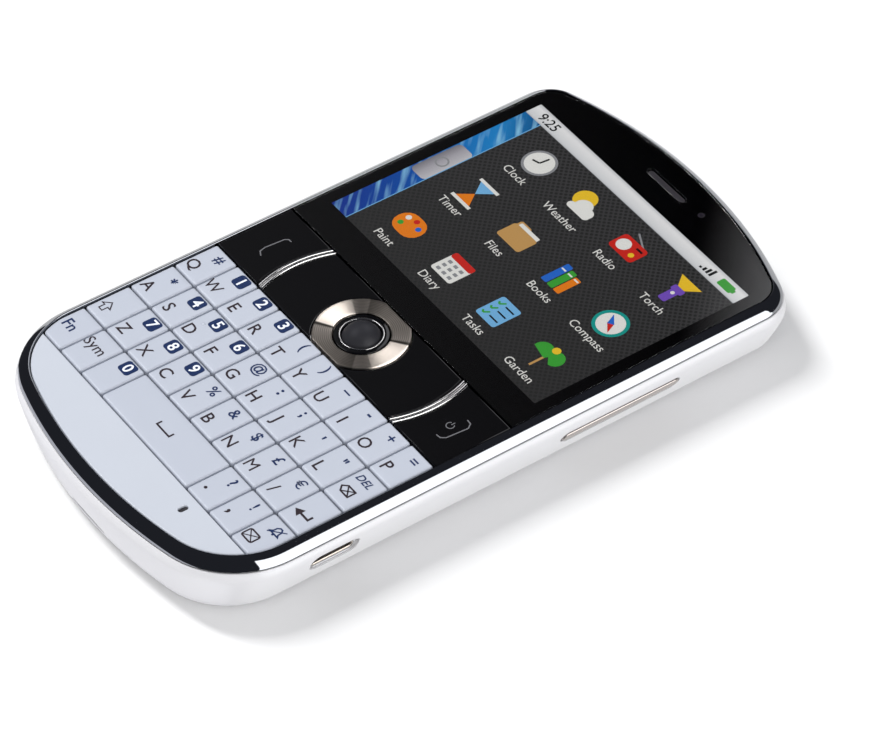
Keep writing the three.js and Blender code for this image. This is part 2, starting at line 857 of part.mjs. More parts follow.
// Rear housing: the white side wall, a web across it, and the pockets under the web
function makeHousing() {
  const outside = bodyForm([...levels(seamHeight, widestHeight, wallSteps), bezelSeatZ], 0);
  const innerRings = [...levels(seamHeight, widestHeight, wallSteps / 2), bezelSeatZ]
    .map((height) => wallRing(height, housingWall));
  const inside = loft([
    { z: seamHeight - overrun, points: innerRings[0].points },
    ...innerRings,
    { z: bezelSeatZ + overrun, points: innerRings.at(-1).points },
  ]);
  const wall = cut(outside, inside);
  const web = loft([
    wallRing(webBottomHeight, housingWall / 2),
    wallRing(webTopZ, housingWall / 2),
  ]);
  const pocketBottomZ = seamHeight;
  const pockets = Object.values(pocketSizes);
  const pocketWalls = pockets.map((pocket) => pocketWall(...pocket, pocketBottomZ));
  const pocketRooms = pockets.map(([x, y, width, length]) => blockAt(
    x,
    y,
    width,
    length,
    pocketBottomZ - overrun,
    webBottomHeight,
  ));
  const bosses = bossPlaces.map(([x, y]) => post(x, y, bossRadius, seamHeight, boardBottomHeight));
  const screwHoles = bossPlaces.flatMap(([x, y]) => [
    post(x, y, screwRadius, seamHeight - overrun, boardBottomHeight + overrun),
    post(x, y, screwHeadRadius, seamHeight - overrun, seamHeight + screwHeadDepth),
  ]);
  const rockerPostX = rockerFlangeX - rockerNose - seatGap - rockerPostThickness / 2;
  const rockerPost = blockAt(
    rockerPostX,
    rockerY,
    rockerPostThickness,
    rockerPostWidth,
    rockerZ - rockerFlangeHeight / 2,
    rockerZ + rockerFlangeHeight / 2,
  );
  const rockerRoom = block(
    rockerFlangeX - rockerNose - seatGap,
    rockerFlangeX + rockerFlangeThickness + rockerWallGap,
    rockerY - rockerFlangeLength / 2 - seatGap,
    rockerY + rockerFlangeLength / 2 + seatGap,
    rockerZ - rockerFlangeHeight / 2 - seatGap,
    rockerZ + rockerFlangeHeight / 2 + seatGap,
  );
  const rockerMouth = sideways(
    roundRectangle(
      rockerHeight + 2 * rockerGap,
      rockerLength + 2 * rockerGap,
      rockerHeight,
      tubeSteps,
    ),
    rockerFlangeX,
    bodyWidth,
    rockerY,
    rockerZ,
  );
  const socketRoom = block(
    socketFaceX - socketDepth - seatGap,
    socketFaceX - socketMouthDepth,
    socketY - socketWidth / 2 - seatGap,
    socketY + socketWidth / 2 + seatGap,
    socketZ - socketHeight / 2 - seatGap,
    boardBottomHeight,
  );
  const socketPass = sideways(
    roundRectangle(
      socketHeight + 2 * fitGap,
      socketWidth + 2 * fitGap,
      socketCornerRadius,
      tubeSteps,
    ),
    socketFaceX - socketDepth,
    bodyWidth,
    socketY,
    socketZ,
  );
  const socketRecess = sideways(
    roundRectangle(socketMouthHeight, socketMouth, socketMouthHeight, tubeSteps),
    socketFaceX,
    bodyWidth,
    socketY,
    socketZ,
  );
  const jackRoom = blockAt(
    jackX,
    jackY,
    jackWidth + 2 * seatGap,
    jackLength + 2 * seatGap,
    jackBottomHeight - seatGap,
    boardBottomHeight,
  );
  const jackMouth = lying(jackNoseRadius + fitGap, jackY, topEndY + overrun);
  const cardWindow = blockAt(
    cardHolderX,
    cardHolderY,
    cardHolderWidth + 2 * seatGap,
    cardHolderLength + 2 * seatGap,
    seamHeight,
    boardBottomHeight,
  );
  const contactWindow = blockAt(
    0,
    contactY,
    contactWidth + 2 * seatGap,
    contactLength + 2 * seatGap,
    seamHeight - overrun,
    boardBottomHeight,
  );
  const nailSlot = block(
    -nailSlotWidth / 2,
    nailSlotWidth / 2,
    bottomEndY,
    bottomEndY + wallInset(seamHeight).bottom + nailSlotDepth,
    seamHeight - overrun,
    seamHeight + nailSlotHeight,
  );
  const shell = join(wall, web, ...pocketWalls, ...bosses);
  const cleared = cut(
    shell,
    ...pocketRooms,
    ...screwHoles,
    rockerRoom,
    rockerMouth,
    socketRoom,
    socketPass,
    socketRecess,
    jackRoom,
    jackMouth,
    cardWindow,
    contactWindow,
    nailSlot,
  );
  addPiece('rear_housing', join(cleared, rockerPost), 'white');
}

// A cylinder that lies along the phone at the headset socket
function lying(radius, fromY, toY) {
  const cylinder = new THREE.CylinderGeometry(radius, radius, toY - fromY, holeSteps);
  cylinder.translate(jackX, (fromY + toY) / 2, jackZ);
  return toSolid(cylinder);
}

// The outer wall's side face at a height
function sideFaceX(height) {
  return bodyWidth / 2 - wallInset(height).side;
}

const jackZ = (jackBottomHeight + boardBottomHeight) / 2;
const rockerFlangeX = sideFaceX(rockerZ) - housingWall - rockerWallGap - rockerFlangeThickness;
const socketFaceX = sideFaceX(socketZ) - socketMouthDepth;

// Battery cover: a shallow tray with tongues that stand inside the housing wall
function makeCover() {
  const edgeLevels = edgeRiseShares.map((share) => share * backEdgeRadius);
  const tray = bodyForm([...edgeLevels, seamHeight], 0);
  const hollow = prism(wallRing(seamHeight, coverRim).points, coverSkin, seamHeight + overrun);
  const tabX = sideFaceX(seamHeight) - housingWall - seatGap - tabThickness / 2;
  const tabs = tabPlaceShares.flatMap((share) => [-1, 1].map((side) => blockAt(
    side * tabX,
    share * bodyLength / 2,
    tabThickness,
    tabWidth,
    coverSkin / 2,
    seamHeight + tabHeight,
  )));
  const holeRadius = cameraBarrelRadius + cameraHoleGap;
  const cameraHole = post(0, cameraY, holeRadius, -overrun, seamHeight + overrun);
  const slots = Array.from({ length: slotCount }, (_, index) => prism(
    roundRectangle(
      slotWidth,
      slotLength,
      slotWidth,
      keyCornerSteps,
      speakerX + (index - (slotCount - 1) / 2) * slotPitch,
      speakerY,
    ),
    -overrun,
    seamHeight + overrun,
  ));
  addPiece('battery_cover', cut(join(cut(tray, hollow), ...tabs), cameraHole, ...slots), 'white');
}

// Battery pack with softened edges
function makeBattery() {
  const bottomZ = coverSkin + batteryClearance;
  const topZ = webBottomHeight - batteryClearance;
  const outlineAt = (inward) => roundRectangle(
    batteryWidth - 2 * inward,
    batteryLength - 2 * inward,
    batteryCornerRadius - inward,
    keyCornerSteps,
    0,
    batteryY,
  );
  const pack = loft([
    { z: bottomZ, points: outlineAt(batteryEdge) },
    { z: bottomZ + batteryEdge, points: outlineAt(0) },
    { z: topZ - batteryEdge, points: outlineAt(0) },
    { z: topZ, points: outlineAt(batteryEdge) },
  ]);
  addPiece('battery', pack, 'battery');
}

// Main board with its shields, card holder and battery contacts underneath
function makeBoard() {
  const inward = housingWall + seatGap;
  const plate = prism(wallRing(boardBottomHeight, inward).points, boardBottomHeight, boardTopZ);
  const ballHole = post(0, ringY, ballRadius + ballGap, boardBottomHeight - overrun, boardTopZ + overrun);
  const cardHolder = blockAt(
    cardHolderX,
    cardHolderY,
    cardHolderWidth,
    cardHolderLength,
    boardBottomHeight - cardHolderHeight,
    boardTopZ,
  );
  const contactZ = boardBottomHeight - contactReach;
  const contacts = blockAt(0, contactY, contactWidth, contactLength, contactZ, boardTopZ);
  const shields = [-1, 1].map((side) => blockAt(
    side * shieldX,
    bottomEndY + shieldTopInset - shieldLength / 2,
    shieldWidth,
    shieldLength,
    boardBottomHeight - shieldHeight,
    boardTopZ,
  ));
  addPiece('main_board', cut(join(plate, cardHolder, contacts, ...shields), ballHole), 'board');
}

// Rocker: a bar through the wall, a flange behind it and a nose it rocks on
function makeRocker() {
  const bar = sideways(
    roundRectangle(rockerHeight, rockerLength, rockerHeight, tubeSteps),
    rockerFlangeX + rockerFlangeThickness / 2,
    bodyWidth,
    rockerY,
    rockerZ,
  ).intersect(bodyForm(levels(rockerZ - rockerHeight, rockerZ + rockerHeight, wallSteps), -rockerProud));
  const flange = block(
    rockerFlangeX,
    rockerFlangeX + rockerFlangeThickness,
    rockerY - rockerFlangeLength / 2,
    rockerY + rockerFlangeLength / 2,
    rockerZ - rockerFlangeHeight / 2,
    rockerZ + rockerFlangeHeight / 2,
  );
  const nose = block(
    rockerFlangeX - rockerNose,
    rockerFlangeX + rockerFlangeThickness / 2,
    rockerY - rockerNoseWidth / 2,
    rockerY + rockerNoseWidth / 2,
    rockerZ - rockerFlangeHeight / 2,
    rockerZ + rockerFlangeHeight / 2,
  );
  addPiece('volume_rocker', join(bar, flange, nose), 'champagne');
}

// Charging socket: a steel shell, open outward, with a tongue inside
function makeSocket() {
  const backX = socketFaceX - socketDepth;
  const shell = sideways(
    roundRectangle(socketHeight, socketWidth, socketCornerRadius, tubeSteps),
    backX,
    socketFaceX,
    socketY,
    socketZ,
  );
  const room = sideways(
    roundRectangle(
      socketHeight - 2 * socketWall,
      socketWidth - 2 * socketWall,
      socketCornerRadius - socketWall,
      tubeSteps,
    ),
    backX + socketWall,
    socketFaceX + overrun,
    socketY,
    socketZ,
  );
  const tongue = block(
    backX + socketWall / 2,
    socketFaceX - socketWall,
    socketY - socketTongueWidth / 2,
    socketY + socketTongueWidth / 2,
    socketZ - socketTongueHeight / 2,
    socketZ + socketTongueHeight / 2,
  );
  addPiece('usb_socket', join(cut(shell, room), tongue), 'steel');
}

// Headset socket under the board, its nose in the top end wall
function makeJack() {
  const body = blockAt(jackX, jackY, jackWidth, jackLength, jackBottomHeight, boardBottomHeight);
  const nose = lying(jackNoseRadius, jackY, topEndY);
  const bore = lying(jackBoreRadius, jackY - jackLength / 2 + bayWall, topEndY + overrun);
  const within = bodyForm(levels(coverSkin, bezelSeatZ, wallSteps), jackFaceDrop);
  addPiece('headset_socket', cut(join(body, nose), bore).intersect(within), 'blackPlastic');
}

// Camera: a square block on the web, its barrel in the cover's hole
function makeCamera() {
  const body = blockAt(0, cameraY, cameraWidth, cameraWidth, seamHeight, webBottomHeight);
  const barrel = post(0, cameraY, cameraBarrelRadius, cameraRecess, seamHeight + overrun, roundSteps / 2);
  const lensWell = post(0, cameraY, cameraLensRadius, -overrun, cameraRecess + cameraLensDepth);
  addPiece('camera_module', cut(join(body, barrel), lensWell), 'blackPlastic');
}

// Loudspeaker on the web, its cone towards the cover's slots
function makeSpeaker() {
  const faceZ = coverSkin + speakerFaceGap;
  const box = prism(
    roundRectangle(
      speakerWidth,
      speakerLength,
      speakerCornerRadius,
      keyCornerSteps,
      speakerX,
      speakerY,
    ),
    faceZ,
    webBottomHeight,
  );
  const cone = post(speakerX, speakerY, speakerConeRadius, faceZ - overrun, faceZ + speakerConeDepth);
  addPiece('loudspeaker', cut(box, cone), 'blackPlastic');
}

makeCover();
makeBattery();
makeHousing();
makeSpeaker();
makeCamera();
makeJack();
makeSocket();
makeRocker();
makeBoard();
makePanel();
makeEarpiece();
makeKeypadSheet();
makeNavTrim();
makeNavRing();
makeTrackball();
makeNavKeys();
makeLetterKeys();
makeChin();
makeWindow();
makeBezel();

export default phone;
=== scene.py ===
# %% [markdown]
# # A bar phone with letter keys, dressed for its portrait
# The solid model of the phone comes in as a fixed frame: every body, node and joint already has its
# place and its real size. This lesson only dresses it. Each visible piece is built again with finer
# curves, soft edges and a finish of its own, and rides on the body that it belongs to.
# All lengths in the lesson are millimetres until a mesh is made, because a phone is drawn in them.

# %% Load the frame
import math

import bmesh
import bpy
import numpy as np
from mathutils import Matrix, Vector
from mathutils.geometry import delaunay_2d_cdt, tessellate_polygon


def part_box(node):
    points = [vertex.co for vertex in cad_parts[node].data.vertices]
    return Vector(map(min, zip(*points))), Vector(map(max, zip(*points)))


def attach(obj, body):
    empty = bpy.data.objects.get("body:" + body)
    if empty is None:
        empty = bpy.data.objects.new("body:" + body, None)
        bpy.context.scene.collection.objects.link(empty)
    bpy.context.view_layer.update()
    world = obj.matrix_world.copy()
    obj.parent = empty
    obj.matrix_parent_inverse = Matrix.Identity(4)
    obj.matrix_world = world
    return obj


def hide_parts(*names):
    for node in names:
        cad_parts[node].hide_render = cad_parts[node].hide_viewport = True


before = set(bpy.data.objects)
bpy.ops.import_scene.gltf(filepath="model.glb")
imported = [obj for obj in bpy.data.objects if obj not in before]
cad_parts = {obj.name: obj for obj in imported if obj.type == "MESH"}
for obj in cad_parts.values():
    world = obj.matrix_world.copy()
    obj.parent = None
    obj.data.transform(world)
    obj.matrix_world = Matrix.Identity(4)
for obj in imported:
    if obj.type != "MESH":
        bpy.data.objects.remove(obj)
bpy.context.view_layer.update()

MM = 0.001


# %% Read the sizes that the frame gives
def box_of(node):
    """The lowest and highest corner of a solid, in millimetres."""
    low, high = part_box(node)
    return np.array(low) / MM, np.array(high) / MM


def middle_of(node):
    low, high = box_of(node)
    return (low + high) / 2


housing_low, housing_high = box_of("rear_housing")
half_width = housing_high[0]
top_end_y = housing_high[1]
bottom_end_y = housing_low[1]
seam_z = housing_low[2]
seat_z = housing_high[2]
glass_low, glass_high = box_of("display_window")
deck_z = glass_high[2]
bezel_top_z = box_of("front_bezel")[1][2]
print("body", 2 * half_width, "by", top_end_y - bottom_end_y, "seam", seam_z, "deck", deck_z)

# %% [markdown]
# ## The camera
# The photograph was taken from above the lower right corner, through a long lens, so lines that are
# parallel on the phone almost stay parallel. The camera looks at a point on the deck from a distance of
# 653 mm. It is built from three angles, because these are what a photographer would change.

# %% Set the camera
def add_object(name, data):
    made = bpy.data.objects.new(name, data)
    bpy.context.scene.collection.objects.link(made)
    return made


AIM = Vector((12.439, -2.268, 11.25)) * MM
AZIMUTH = math.radians(55.003)
ELEVATION = math.radians(44.734)
ROLL = math.radians(-0.075)
DISTANCE = 653.286 * MM
LENS = 183.12

back = Vector((math.sin(AZIMUTH) * math.cos(ELEVATION), -math.cos(AZIMUTH) * math.cos(ELEVATION),
               math.sin(ELEVATION)))
camera_data = bpy.data.cameras.new("studio_camera")
camera_data.lens = LENS
camera_data.sensor_width = 36
camera_data.clip_start = 0.01
camera_data.clip_end = 20
camera = add_object("studio_camera", camera_data)
camera.location = AIM + back * DISTANCE
across = Vector((math.cos(AZIMUTH), math.sin(AZIMUTH), 0))
turn = Matrix((across, back.cross(across), back)).transposed() @ Matrix.Rotation(ROLL, 3, "Z")
camera.rotation_euler = turn.to_euler()
bpy.context.scene.camera = camera
print("camera at", [round(value / MM, 1) for value in camera.location])

# %% [markdown]
# ## The studio
# The phone lies on a white sweep. The shadow on the floor falls to the right and its edge is soft, so
# one broad lamp stands high on the left, and a weaker one low on the right fills the near wall. The rest
# of the light is a bright tent all round.
# Polished parts would show that tent as plain white, but they are mostly black in the photograph: a
# product studio hangs black cards where the gloss looks, and leaves white panels only where a highlight
# should be. The world does the same. Rays from matt surfaces meet the tent, and rays from glossy ones
# meet the cards and panels, each panel a soft-edged patch of directions. The floor itself is one of
# those panels for them, so its shadow draws no line on the polished parts.

# %% Lay the white floor
FLOOR_SPAN = 6.0
floor_mesh = bpy.data.meshes.new("studio_floor")
corners = [(-1, -1), (1, -1), (1, 1), (-1, 1)]
floor_mesh.from_pydata([(x * FLOOR_SPAN, y * FLOOR_SPAN, 0) for x, y in corners], [], [(0, 1, 2, 3)])
studio_floor = add_object("studio_floor", floor_mesh)
studio_floor.visible_glossy = False


def plug(tree, socket, value):
    """Give a socket its value, which is a link or plain."""
    if isinstance(value, bpy.types.NodeSocket):
        tree.links.new(value, socket)
    else:
        socket.default_value = value


def set_node(tree, node, **values):
    """Set a node's sockets and its settings by name."""
    for key, value in values.items():
        name = key.replace("_", " ")
        socket = node.inputs.get(name) or node.inputs.get(name.title())
        if socket is None:
            setattr(node, key, value)
        else:
            plug(tree, socket, value)
    return node


def link_node(tree, kind, **values):
    return set_node(tree, tree.nodes.new(kind), **values)


VECTOR_MATH = "ShaderNodeVectorMath"


def calculate(tree, operation, *terms, kind="ShaderNodeMath", result=0):
    """A Math node on links or plain numbers, giving back its output."""
    node = link_node(tree, kind, operation=operation)
    for socket, term in zip(node.inputs, terms):
        plug(tree, socket, term)
    return node.outputs[result]


def map_range(tree, value, low, high, **settings):
    """Where a value lies between two limits, as 0 to 1."""
    return link_node(tree, "ShaderNodeMapRange", Value=value, From_Min=low, From_Max=high,
                     **settings).outputs["Result"]


def noise(tree, **values):
    return link_node(tree, "ShaderNodeTexNoise", **values).outputs["Fac"]


def grey_of(tree, value):
    return link_node(tree, "ShaderNodeCombineColor", Red=value, Green=value, Blue=value).outputs["Color"]


def new_material(name):
    """A material, its node tree and its Principled shader."""
    material = bpy.data.materials.new(name)
    material.use_nodes = True
    return material, material.node_tree, material.node_tree.nodes["Principled BSDF"]


FLOOR_WHITE = 0.8
floor_finish, tree, shader = new_material("white_sweep")
shade = calculate(tree, "MULTIPLY_ADD", noise(tree, Scale=3.0, Detail=2.0), 0.004, FLOOR_WHITE)
set_node(tree, shader, Base_Color=grey_of(tree, shade), Roughness=0.9, Specular_IOR_Level=0.0)
floor_mesh.materials.append(floor_finish)
print("floor", 2 * FLOOR_SPAN, "m across")

# %% Hang the tent, the black cards and the white panels
TENT_NEAR = (1.36, 1.35, 1.35)
TENT_FAR = (0.49, 0.5, 0.52)
TENT_SIDE = -45
TENT_DROP = -25
CARDS = (0.034, 0.036, 0.044)


def heading(azimuth, elevation):
    """A direction in the studio: azimuth in degrees from +X towards +Y, elevation above the floor."""
    a, e = math.radians(azimuth), math.radians(elevation)
    return (math.cos(a) * math.cos(e), math.sin(a) * math.cos(e), math.sin(e))


# each panel: its direction, half its width in degrees, the width of its soft edge, and its colour
PANELS = {
    "white floor": (heading(0, -90), 87, 3, (0.8, 0.8, 0.8)),
    "side strip": (heading(-2, 18), 38.4, 1.5, (3.2, 3.2, 3.2)),
    "low side strip": (heading(14, -6), 30, 1.5, (3.2, 3.2, 3.2)),
    "upper card": (heading(90, 79.3), 40.6, 1.5, CARDS),
    "corner card": (heading(-102, 0), 90, 1.0, CARDS),
    "bottom floor": (heading(-126, -44), 43, 2, (1.0, 1.0, 1.06)),
    "edge glint": (heading(-152, 55), 12, 3, (3.5, 3.5, 3.6)),
    "black card": (heading(144, 43), 6, 9, (0.004, 0.004, 0.006)),
    "lens veil": (heading(115, 43.4), 16.6, 1.9, (1.5, 1.5, 1.55)),
    "lens glow": (heading(168, 44), 4, 17, (0.2, 0.2, 0.21)),
}

world = bpy.data.worlds.new("studio_world")
world.use_nodes = True
bpy.context.scene.world = world
sky = world.node_tree
sky.nodes.clear()
ray_way = sky.nodes.new("ShaderNodeTexCoord").outputs["Generated"]


def blend_colour(tree, factor, first, second, mode="MIX"):
    """A colour mix; factor and colours are links or plain values."""
    node = link_node(tree, "ShaderNodeMix", data_type="RGBA", blend_type=mode)
    sockets = {socket.identifier: socket for socket in node.inputs}
    plug(tree, sockets["Factor_Float"], factor)
    for name, colour in (("A_Color", first), ("B_Color", second)):
        plug(tree, sockets[name], (*colour, 1) if isinstance(colour, tuple) else colour)
    return next(s for s in node.outputs if s.identifier == "Result_Color")


def facing(direction):
    """How nearly a ray goes in a direction: the cosine between the two."""
    return calculate(sky, "DOT_PRODUCT", ray_way, direction, kind=VECTOR_MATH, result=1)


gloss_view = None
for label, (direction, half_angle, soft, colour) in PANELS.items():
    outer, inner = (math.cos(math.radians(angle)) for angle in (half_angle + soft, half_angle))
    edge = map_range(sky, facing(direction), outer, inner, interpolation_type="SMOOTHSTEP")
    gloss_view = blend_colour(sky, edge, gloss_view or CARDS, colour)

rays = sky.nodes.new("ShaderNodeLightPath")
mirrored = calculate(sky, "MAXIMUM", rays.outputs["Is Glossy Ray"], rays.outputs["Is Transmission Ray"])
turned = map_range(sky, facing(heading(TENT_SIDE, TENT_DROP)), -0.7, 0.7)
tent = blend_colour(sky, turned, TENT_FAR, TENT_NEAR)
tent_view = blend_colour(sky, mirrored, tent, gloss_view)
whole_view = blend_colour(sky, rays.outputs["Is Camera Ray"], tent_view, (1, 1, 1))
sky_shader = link_node(sky, "ShaderNodeBackground", Color=whole_view, Strength=1.0)
link_node(sky, "ShaderNodeOutputWorld", Surface=sky_shader.outputs["Background"])
world.cycles.sampling_method = "NONE"
print("panels", ", ".join(PANELS))

# %% Hang the two lamps
LAMP_DISTANCE = 1.2


def hang_lamp(name, aim, width, height, power):
    """An area lamp that hangs in a direction and shines at the phone, unseen by camera and gloss."""
    data = bpy.data.lights.new(name, "AREA")
    data.shape = "RECTANGLE"
    data.size, data.size_y, data.energy = width, height, power
    lamp = add_object(name, data)
    lamp.location = Vector(aim) * LAMP_DISTANCE
    lamp.rotation_euler = Vector(aim).to_track_quat("Z", "Y").to_euler()
    lamp.visible_camera = False
    lamp.visible_glossy = False
    print(name, power, "W at", LAMP_DISTANCE, "m")
    return lamp


hang_lamp("broad_lamp", heading(197, 54), 0.16, 0.5, 11.0)
hang_lamp("fill_lamp", heading(5, 4), 0.8, 0.15, 5.0)
bpy.context.scene.view_settings.view_transform = "Standard"

# %% [markdown]
# ## Helpers for shaping
# Almost everything on this phone is a closed outline that rises through rounded edges: the shell, the
# bezel, the keys, the glass. So one small class collects rings of points and joins neighbouring rings
# with bands of faces. A shape is a function that takes an offset and gives its outline grown by that
# much, which lets one recipe round every edge.

# %% Write the class that joins rings
class Form:
    """Points and faces of one piece, in millimetres."""

    def __init__(self):
        self.points = []
        self.faces = []
        self.finishes = []
        self.finish = 0
        self.normals = {}

    def ring(self, outline, z=None):
        """Add a ring of points; z fills in the height of a flat outline."""
        start = len(self.points)
        if z is not None:
            outline = np.column_stack((outline, np.broadcast_to(z, len(outline))))
        self.points += map(tuple, outline)
        return list(range(start, len(self.points)))

    def face(self, *corners):
        self.faces.append(corners)
        self.finishes.append(self.finish)

    def band(self, lower, upper, closed=True):
        """Quads between two rings of the same count."""
        count = len(lower)
        for i in range(count if closed else count - 1):
            j = (i + 1) % count
            self.face(lower[i], lower[j], upper[j], upper[i])

    def stack(self, rings, closed=True):
        for lower, upper in zip(rings, rings[1:]):
            self.band(lower, upper, closed)

    def lid(self, outer, holes=(), down=False):
        """Fill a flat ring with triangles, leaving its holes open."""
        rings = [outer, *holes]
        flat = [index for ring in rings for index in ring]
        lines = [[Vector((*self.points[index][:2], 0)) for index in ring] for ring in rings]
        for triangle in tessellate_polygon(lines):
            corners = [flat[i] for i in triangle]
            a, b, c = (self.points[i] for i in corners)
            turn = (b[0] - a[0]) * (c[1] - a[1]) - (b[1] - a[1]) * (c[0] - a[0])
            if (turn < 0) != down:
                corners.reverse()
            self.face(*corners)

    def fan(self, ring, centre):
        """Close a ring with triangles to a middle point."""
        self.points.append(tuple(centre))
        middle = len(self.points) - 1
        for i, index in enumerate(ring):
            self.face(index, ring[(i + 1) % len(ring)], middle)


def settle(name, form, finishes, body, replaces=(), sharp=32, origin=(0, 0, 0), mend=True):
    """Turn a form into a piece: mesh in metres, smooth faces, finishes and body; the solids it replaces are
    hidden.
    """
    mesh = bpy.data.meshes.new(name)
    move = np.array(origin, float)
    points = (np.array(form.points, float) - move) * MM
    mesh.from_pydata(points.tolist(), [], [tuple(face) for face in form.faces])
    for finish in finishes:
        mesh.materials.append(finish)
    mesh.polygons.foreach_set("material_index", form.finishes)
    if mend:
        work = bmesh.new()
        work.from_mesh(mesh)
        bmesh.ops.remove_doubles(work, verts=work.verts, dist=1e-7)
        bmesh.ops.recalc_face_normals(work, faces=work.faces)
        work.to_mesh(mesh)
        work.free()
    mesh.polygons.foreach_set("use_smooth", [True] * len(mesh.polygons))
    mesh.set_sharp_from_angle(angle=math.radians(sharp))
    if form.normals:
        mesh.normals_split_custom_set_from_vertices(
            [form.normals.get(index, (0, 0, 0)) for index in range(len(mesh.vertices))])
    piece = add_object(name, mesh)
    piece.location = move * MM
    bpy.context.view_layer.update()
    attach(piece, body)
    if replaces:
        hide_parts(*replaces)
    return piece


print("form helper ready")


# %% Write the outlines that the phone is drawn with
CORNER_STEPS = 14
END_STEPS = 22
SIDE_STEPS = 44
BOTTOM_END_RADIUS = 83
TOP_END_RADIUS = 80
BOTTOM_CORNER_RADIUS = 14.8
TOP_CORNER_RADIUS = 7.3
LEAST_CORNER_RADIUS = 0.5


def polar(x, y, radius, turns):
    """Points about a middle, at a radius and at angles."""
    return np.column_stack((x + radius * np.cos(turns), y + radius * np.sin(turns)))


def arc(x, y, radius, start, stop, steps):
    return polar(x, y, radius, np.linspace(start, stop, steps + 1))


def end_arcs(reach_x, apex_y, end_radius, corner_radius, toward):
    """One end of the phone: a corner arc, the long end arc and a corner arc, meeting in tangents."""
    corner = max(corner_radius, LEAST_CORNER_RADIUS)
    corner_x = reach_x - corner
    middle_y = apex_y - toward * end_radius
    reach = math.sqrt((end_radius - corner) ** 2 - corner_x**2)
    corner_y = middle_y + toward * reach
    lean = math.atan2(reach, corner_x)
    start = 0 if toward > 0 else math.pi
    return np.vstack((
        arc(toward * corner_x, corner_y, corner, start, start + lean, CORNER_STEPS)[:-1],
        arc(0, middle_y, end_radius, start + lean, start + math.pi - lean, END_STEPS)[:-1],
        arc(-toward * corner_x, corner_y, corner, start + math.pi - lean, start + math.pi, CORNER_STEPS),
    ))


def body_outline(side, bottom=None, top=None, side_steps=SIDE_STEPS):
    """The phone's outline drawn in by its side, bottom and top amounts, counterclockwise."""
    bottom = side if bottom is None else bottom
    top = side if top is None else top
    reach_x = half_width - side
    top_end = end_arcs(reach_x, top_end_y - top, TOP_END_RADIUS - top,
                       TOP_CORNER_RADIUS - (side + top) / 2, 1)
    bottom_end = end_arcs(reach_x, bottom_end_y + bottom, BOTTOM_END_RADIUS - bottom,
                          BOTTOM_CORNER_RADIUS - (side + bottom) / 2, -1)
    left = np.linspace(top_end[-1], bottom_end[0], side_steps + 1)[1:-1]
    right = np.linspace(bottom_end[-1], top_end[0], side_steps + 1)[1:-1]
    return np.vstack((top_end, left, bottom_end, right))


def edge_round(radius, steps):
    """A rounded edge from its foot to its top: pairs of how far in, and how far below the top."""
    turns = np.linspace(0, math.pi / 2, steps + 1)
    return [(radius * (1 - math.cos(turn)), radius * (1 - math.sin(turn))) for turn in turns]


def round_box(x, y, width, length, corner, steps=5):
    """A rounded rectangle as a shape: call it with an offset to get its outline."""
    def outline(offset=0):
        half_x, half_y = width / 2 + offset, length / 2 + offset
        radius = min(max(corner + offset, 0.02), half_x, half_y)
        quarter = math.pi / 2
        centres = [(1, 1), (-1, 1), (-1, -1), (1, -1)]
        return np.vstack([
            arc(x + sx * (half_x - radius), y + sy * (half_y - radius), radius,
                i * quarter, (i + 1) * quarter, steps)
            for i, (sx, sy) in enumerate(centres)])
    return outline


def disc(x, y, radius, steps=48):
    """A circle as a shape."""
    def outline(offset=0):
        return arc(x, y, radius + offset, 0, 2 * math.pi, steps)[:-1]
    return outline


LEVEL_MARGIN = 0.03


def plate(form, outer, holes, low, high, edge, low_edge=0, steps=4):
    """A closed plate with holes through it, its top edges rounded, and its foot too where asked.

    A level ring just inside each rounded edge keeps the shading of the flat top level."""
    walls = []
    for shape, grow in [(outer, -1)] + [(hole, 1) for hole in holes]:
        foot = edge_round(low_edge, steps)[:0:-1] if low_edge else [(0, 0)]
        levels = [(inset, low + rise) for inset, rise in foot]
        levels += [(inset, high - drop) for inset, drop in edge_round(edge, steps)]
        rings = [form.ring(shape(grow * inset), z) for inset, z in [*levels, (edge + LEVEL_MARGIN, high)]]
        form.stack(rings)
        walls.append(rings)
    form.lid(walls[0][-1], [rings[-1] for rings in walls[1:]])
    form.lid(walls[0][0], [rings[0] for rings in walls[1:]], down=True)


outline_points = body_outline(0)
print("outline of", len(outline_points), "points spans", np.ptp(outline_points, axis=0).round(2))

# %% [markdown]
# ## Finishes
# No real surface has one colour and one gloss. Moulded plastic drifts a little in tone, a thumb leaves
# patches that shine less, and the mould leaves a fine grain. These three effects are used by most
# materials here, so each is a node group that is built once and placed with its own values. A group only
# gives a colour, a value or a height. The shader with its plain numbers stays in each material.

# %% Build the shared effects
def new_group(name, inputs, outputs):
    """A shader node group with named sockets; each is (name, kind, default)."""
    tree = bpy.data.node_groups.new(name, "ShaderNodeTree")
    for direction, sockets in (("INPUT", inputs), ("OUTPUT", outputs)):
        for label, kind, default in sockets:
            socket = tree.interface.new_socket(name=label, in_out=direction, socket_type="NodeSocket" + kind)
            if default is not None:
                socket.default_value = default
    return tree, tree.nodes.new("NodeGroupInput").outputs, tree.nodes.new("NodeGroupOutput").inputs


def object_place(tree):
    return tree.nodes.new("ShaderNodeTexCoord").outputs["Object"]


tone_drift, given, result = new_group(
    "tone drift",
    [("Colour", "Color", (1, 1, 1, 1)), ("Amount", "Float", 0.03), ("Scale", "Float", 100.0)],
    [("Colour", "Color", None)])
cloud = noise(tone_drift, Vector=object_place(tone_drift), Scale=given["Scale"], Detail=3.0)
swing = calculate(tone_drift, "SUBTRACT", cloud, 0.5)
gain = calculate(tone_drift, "MULTIPLY_ADD", swing, given["Amount"], 1.0)
plug(tone_drift, result["Colour"],
     blend_colour(tone_drift, 1.0, given["Colour"], grey_of(tone_drift, gain), "MULTIPLY"))

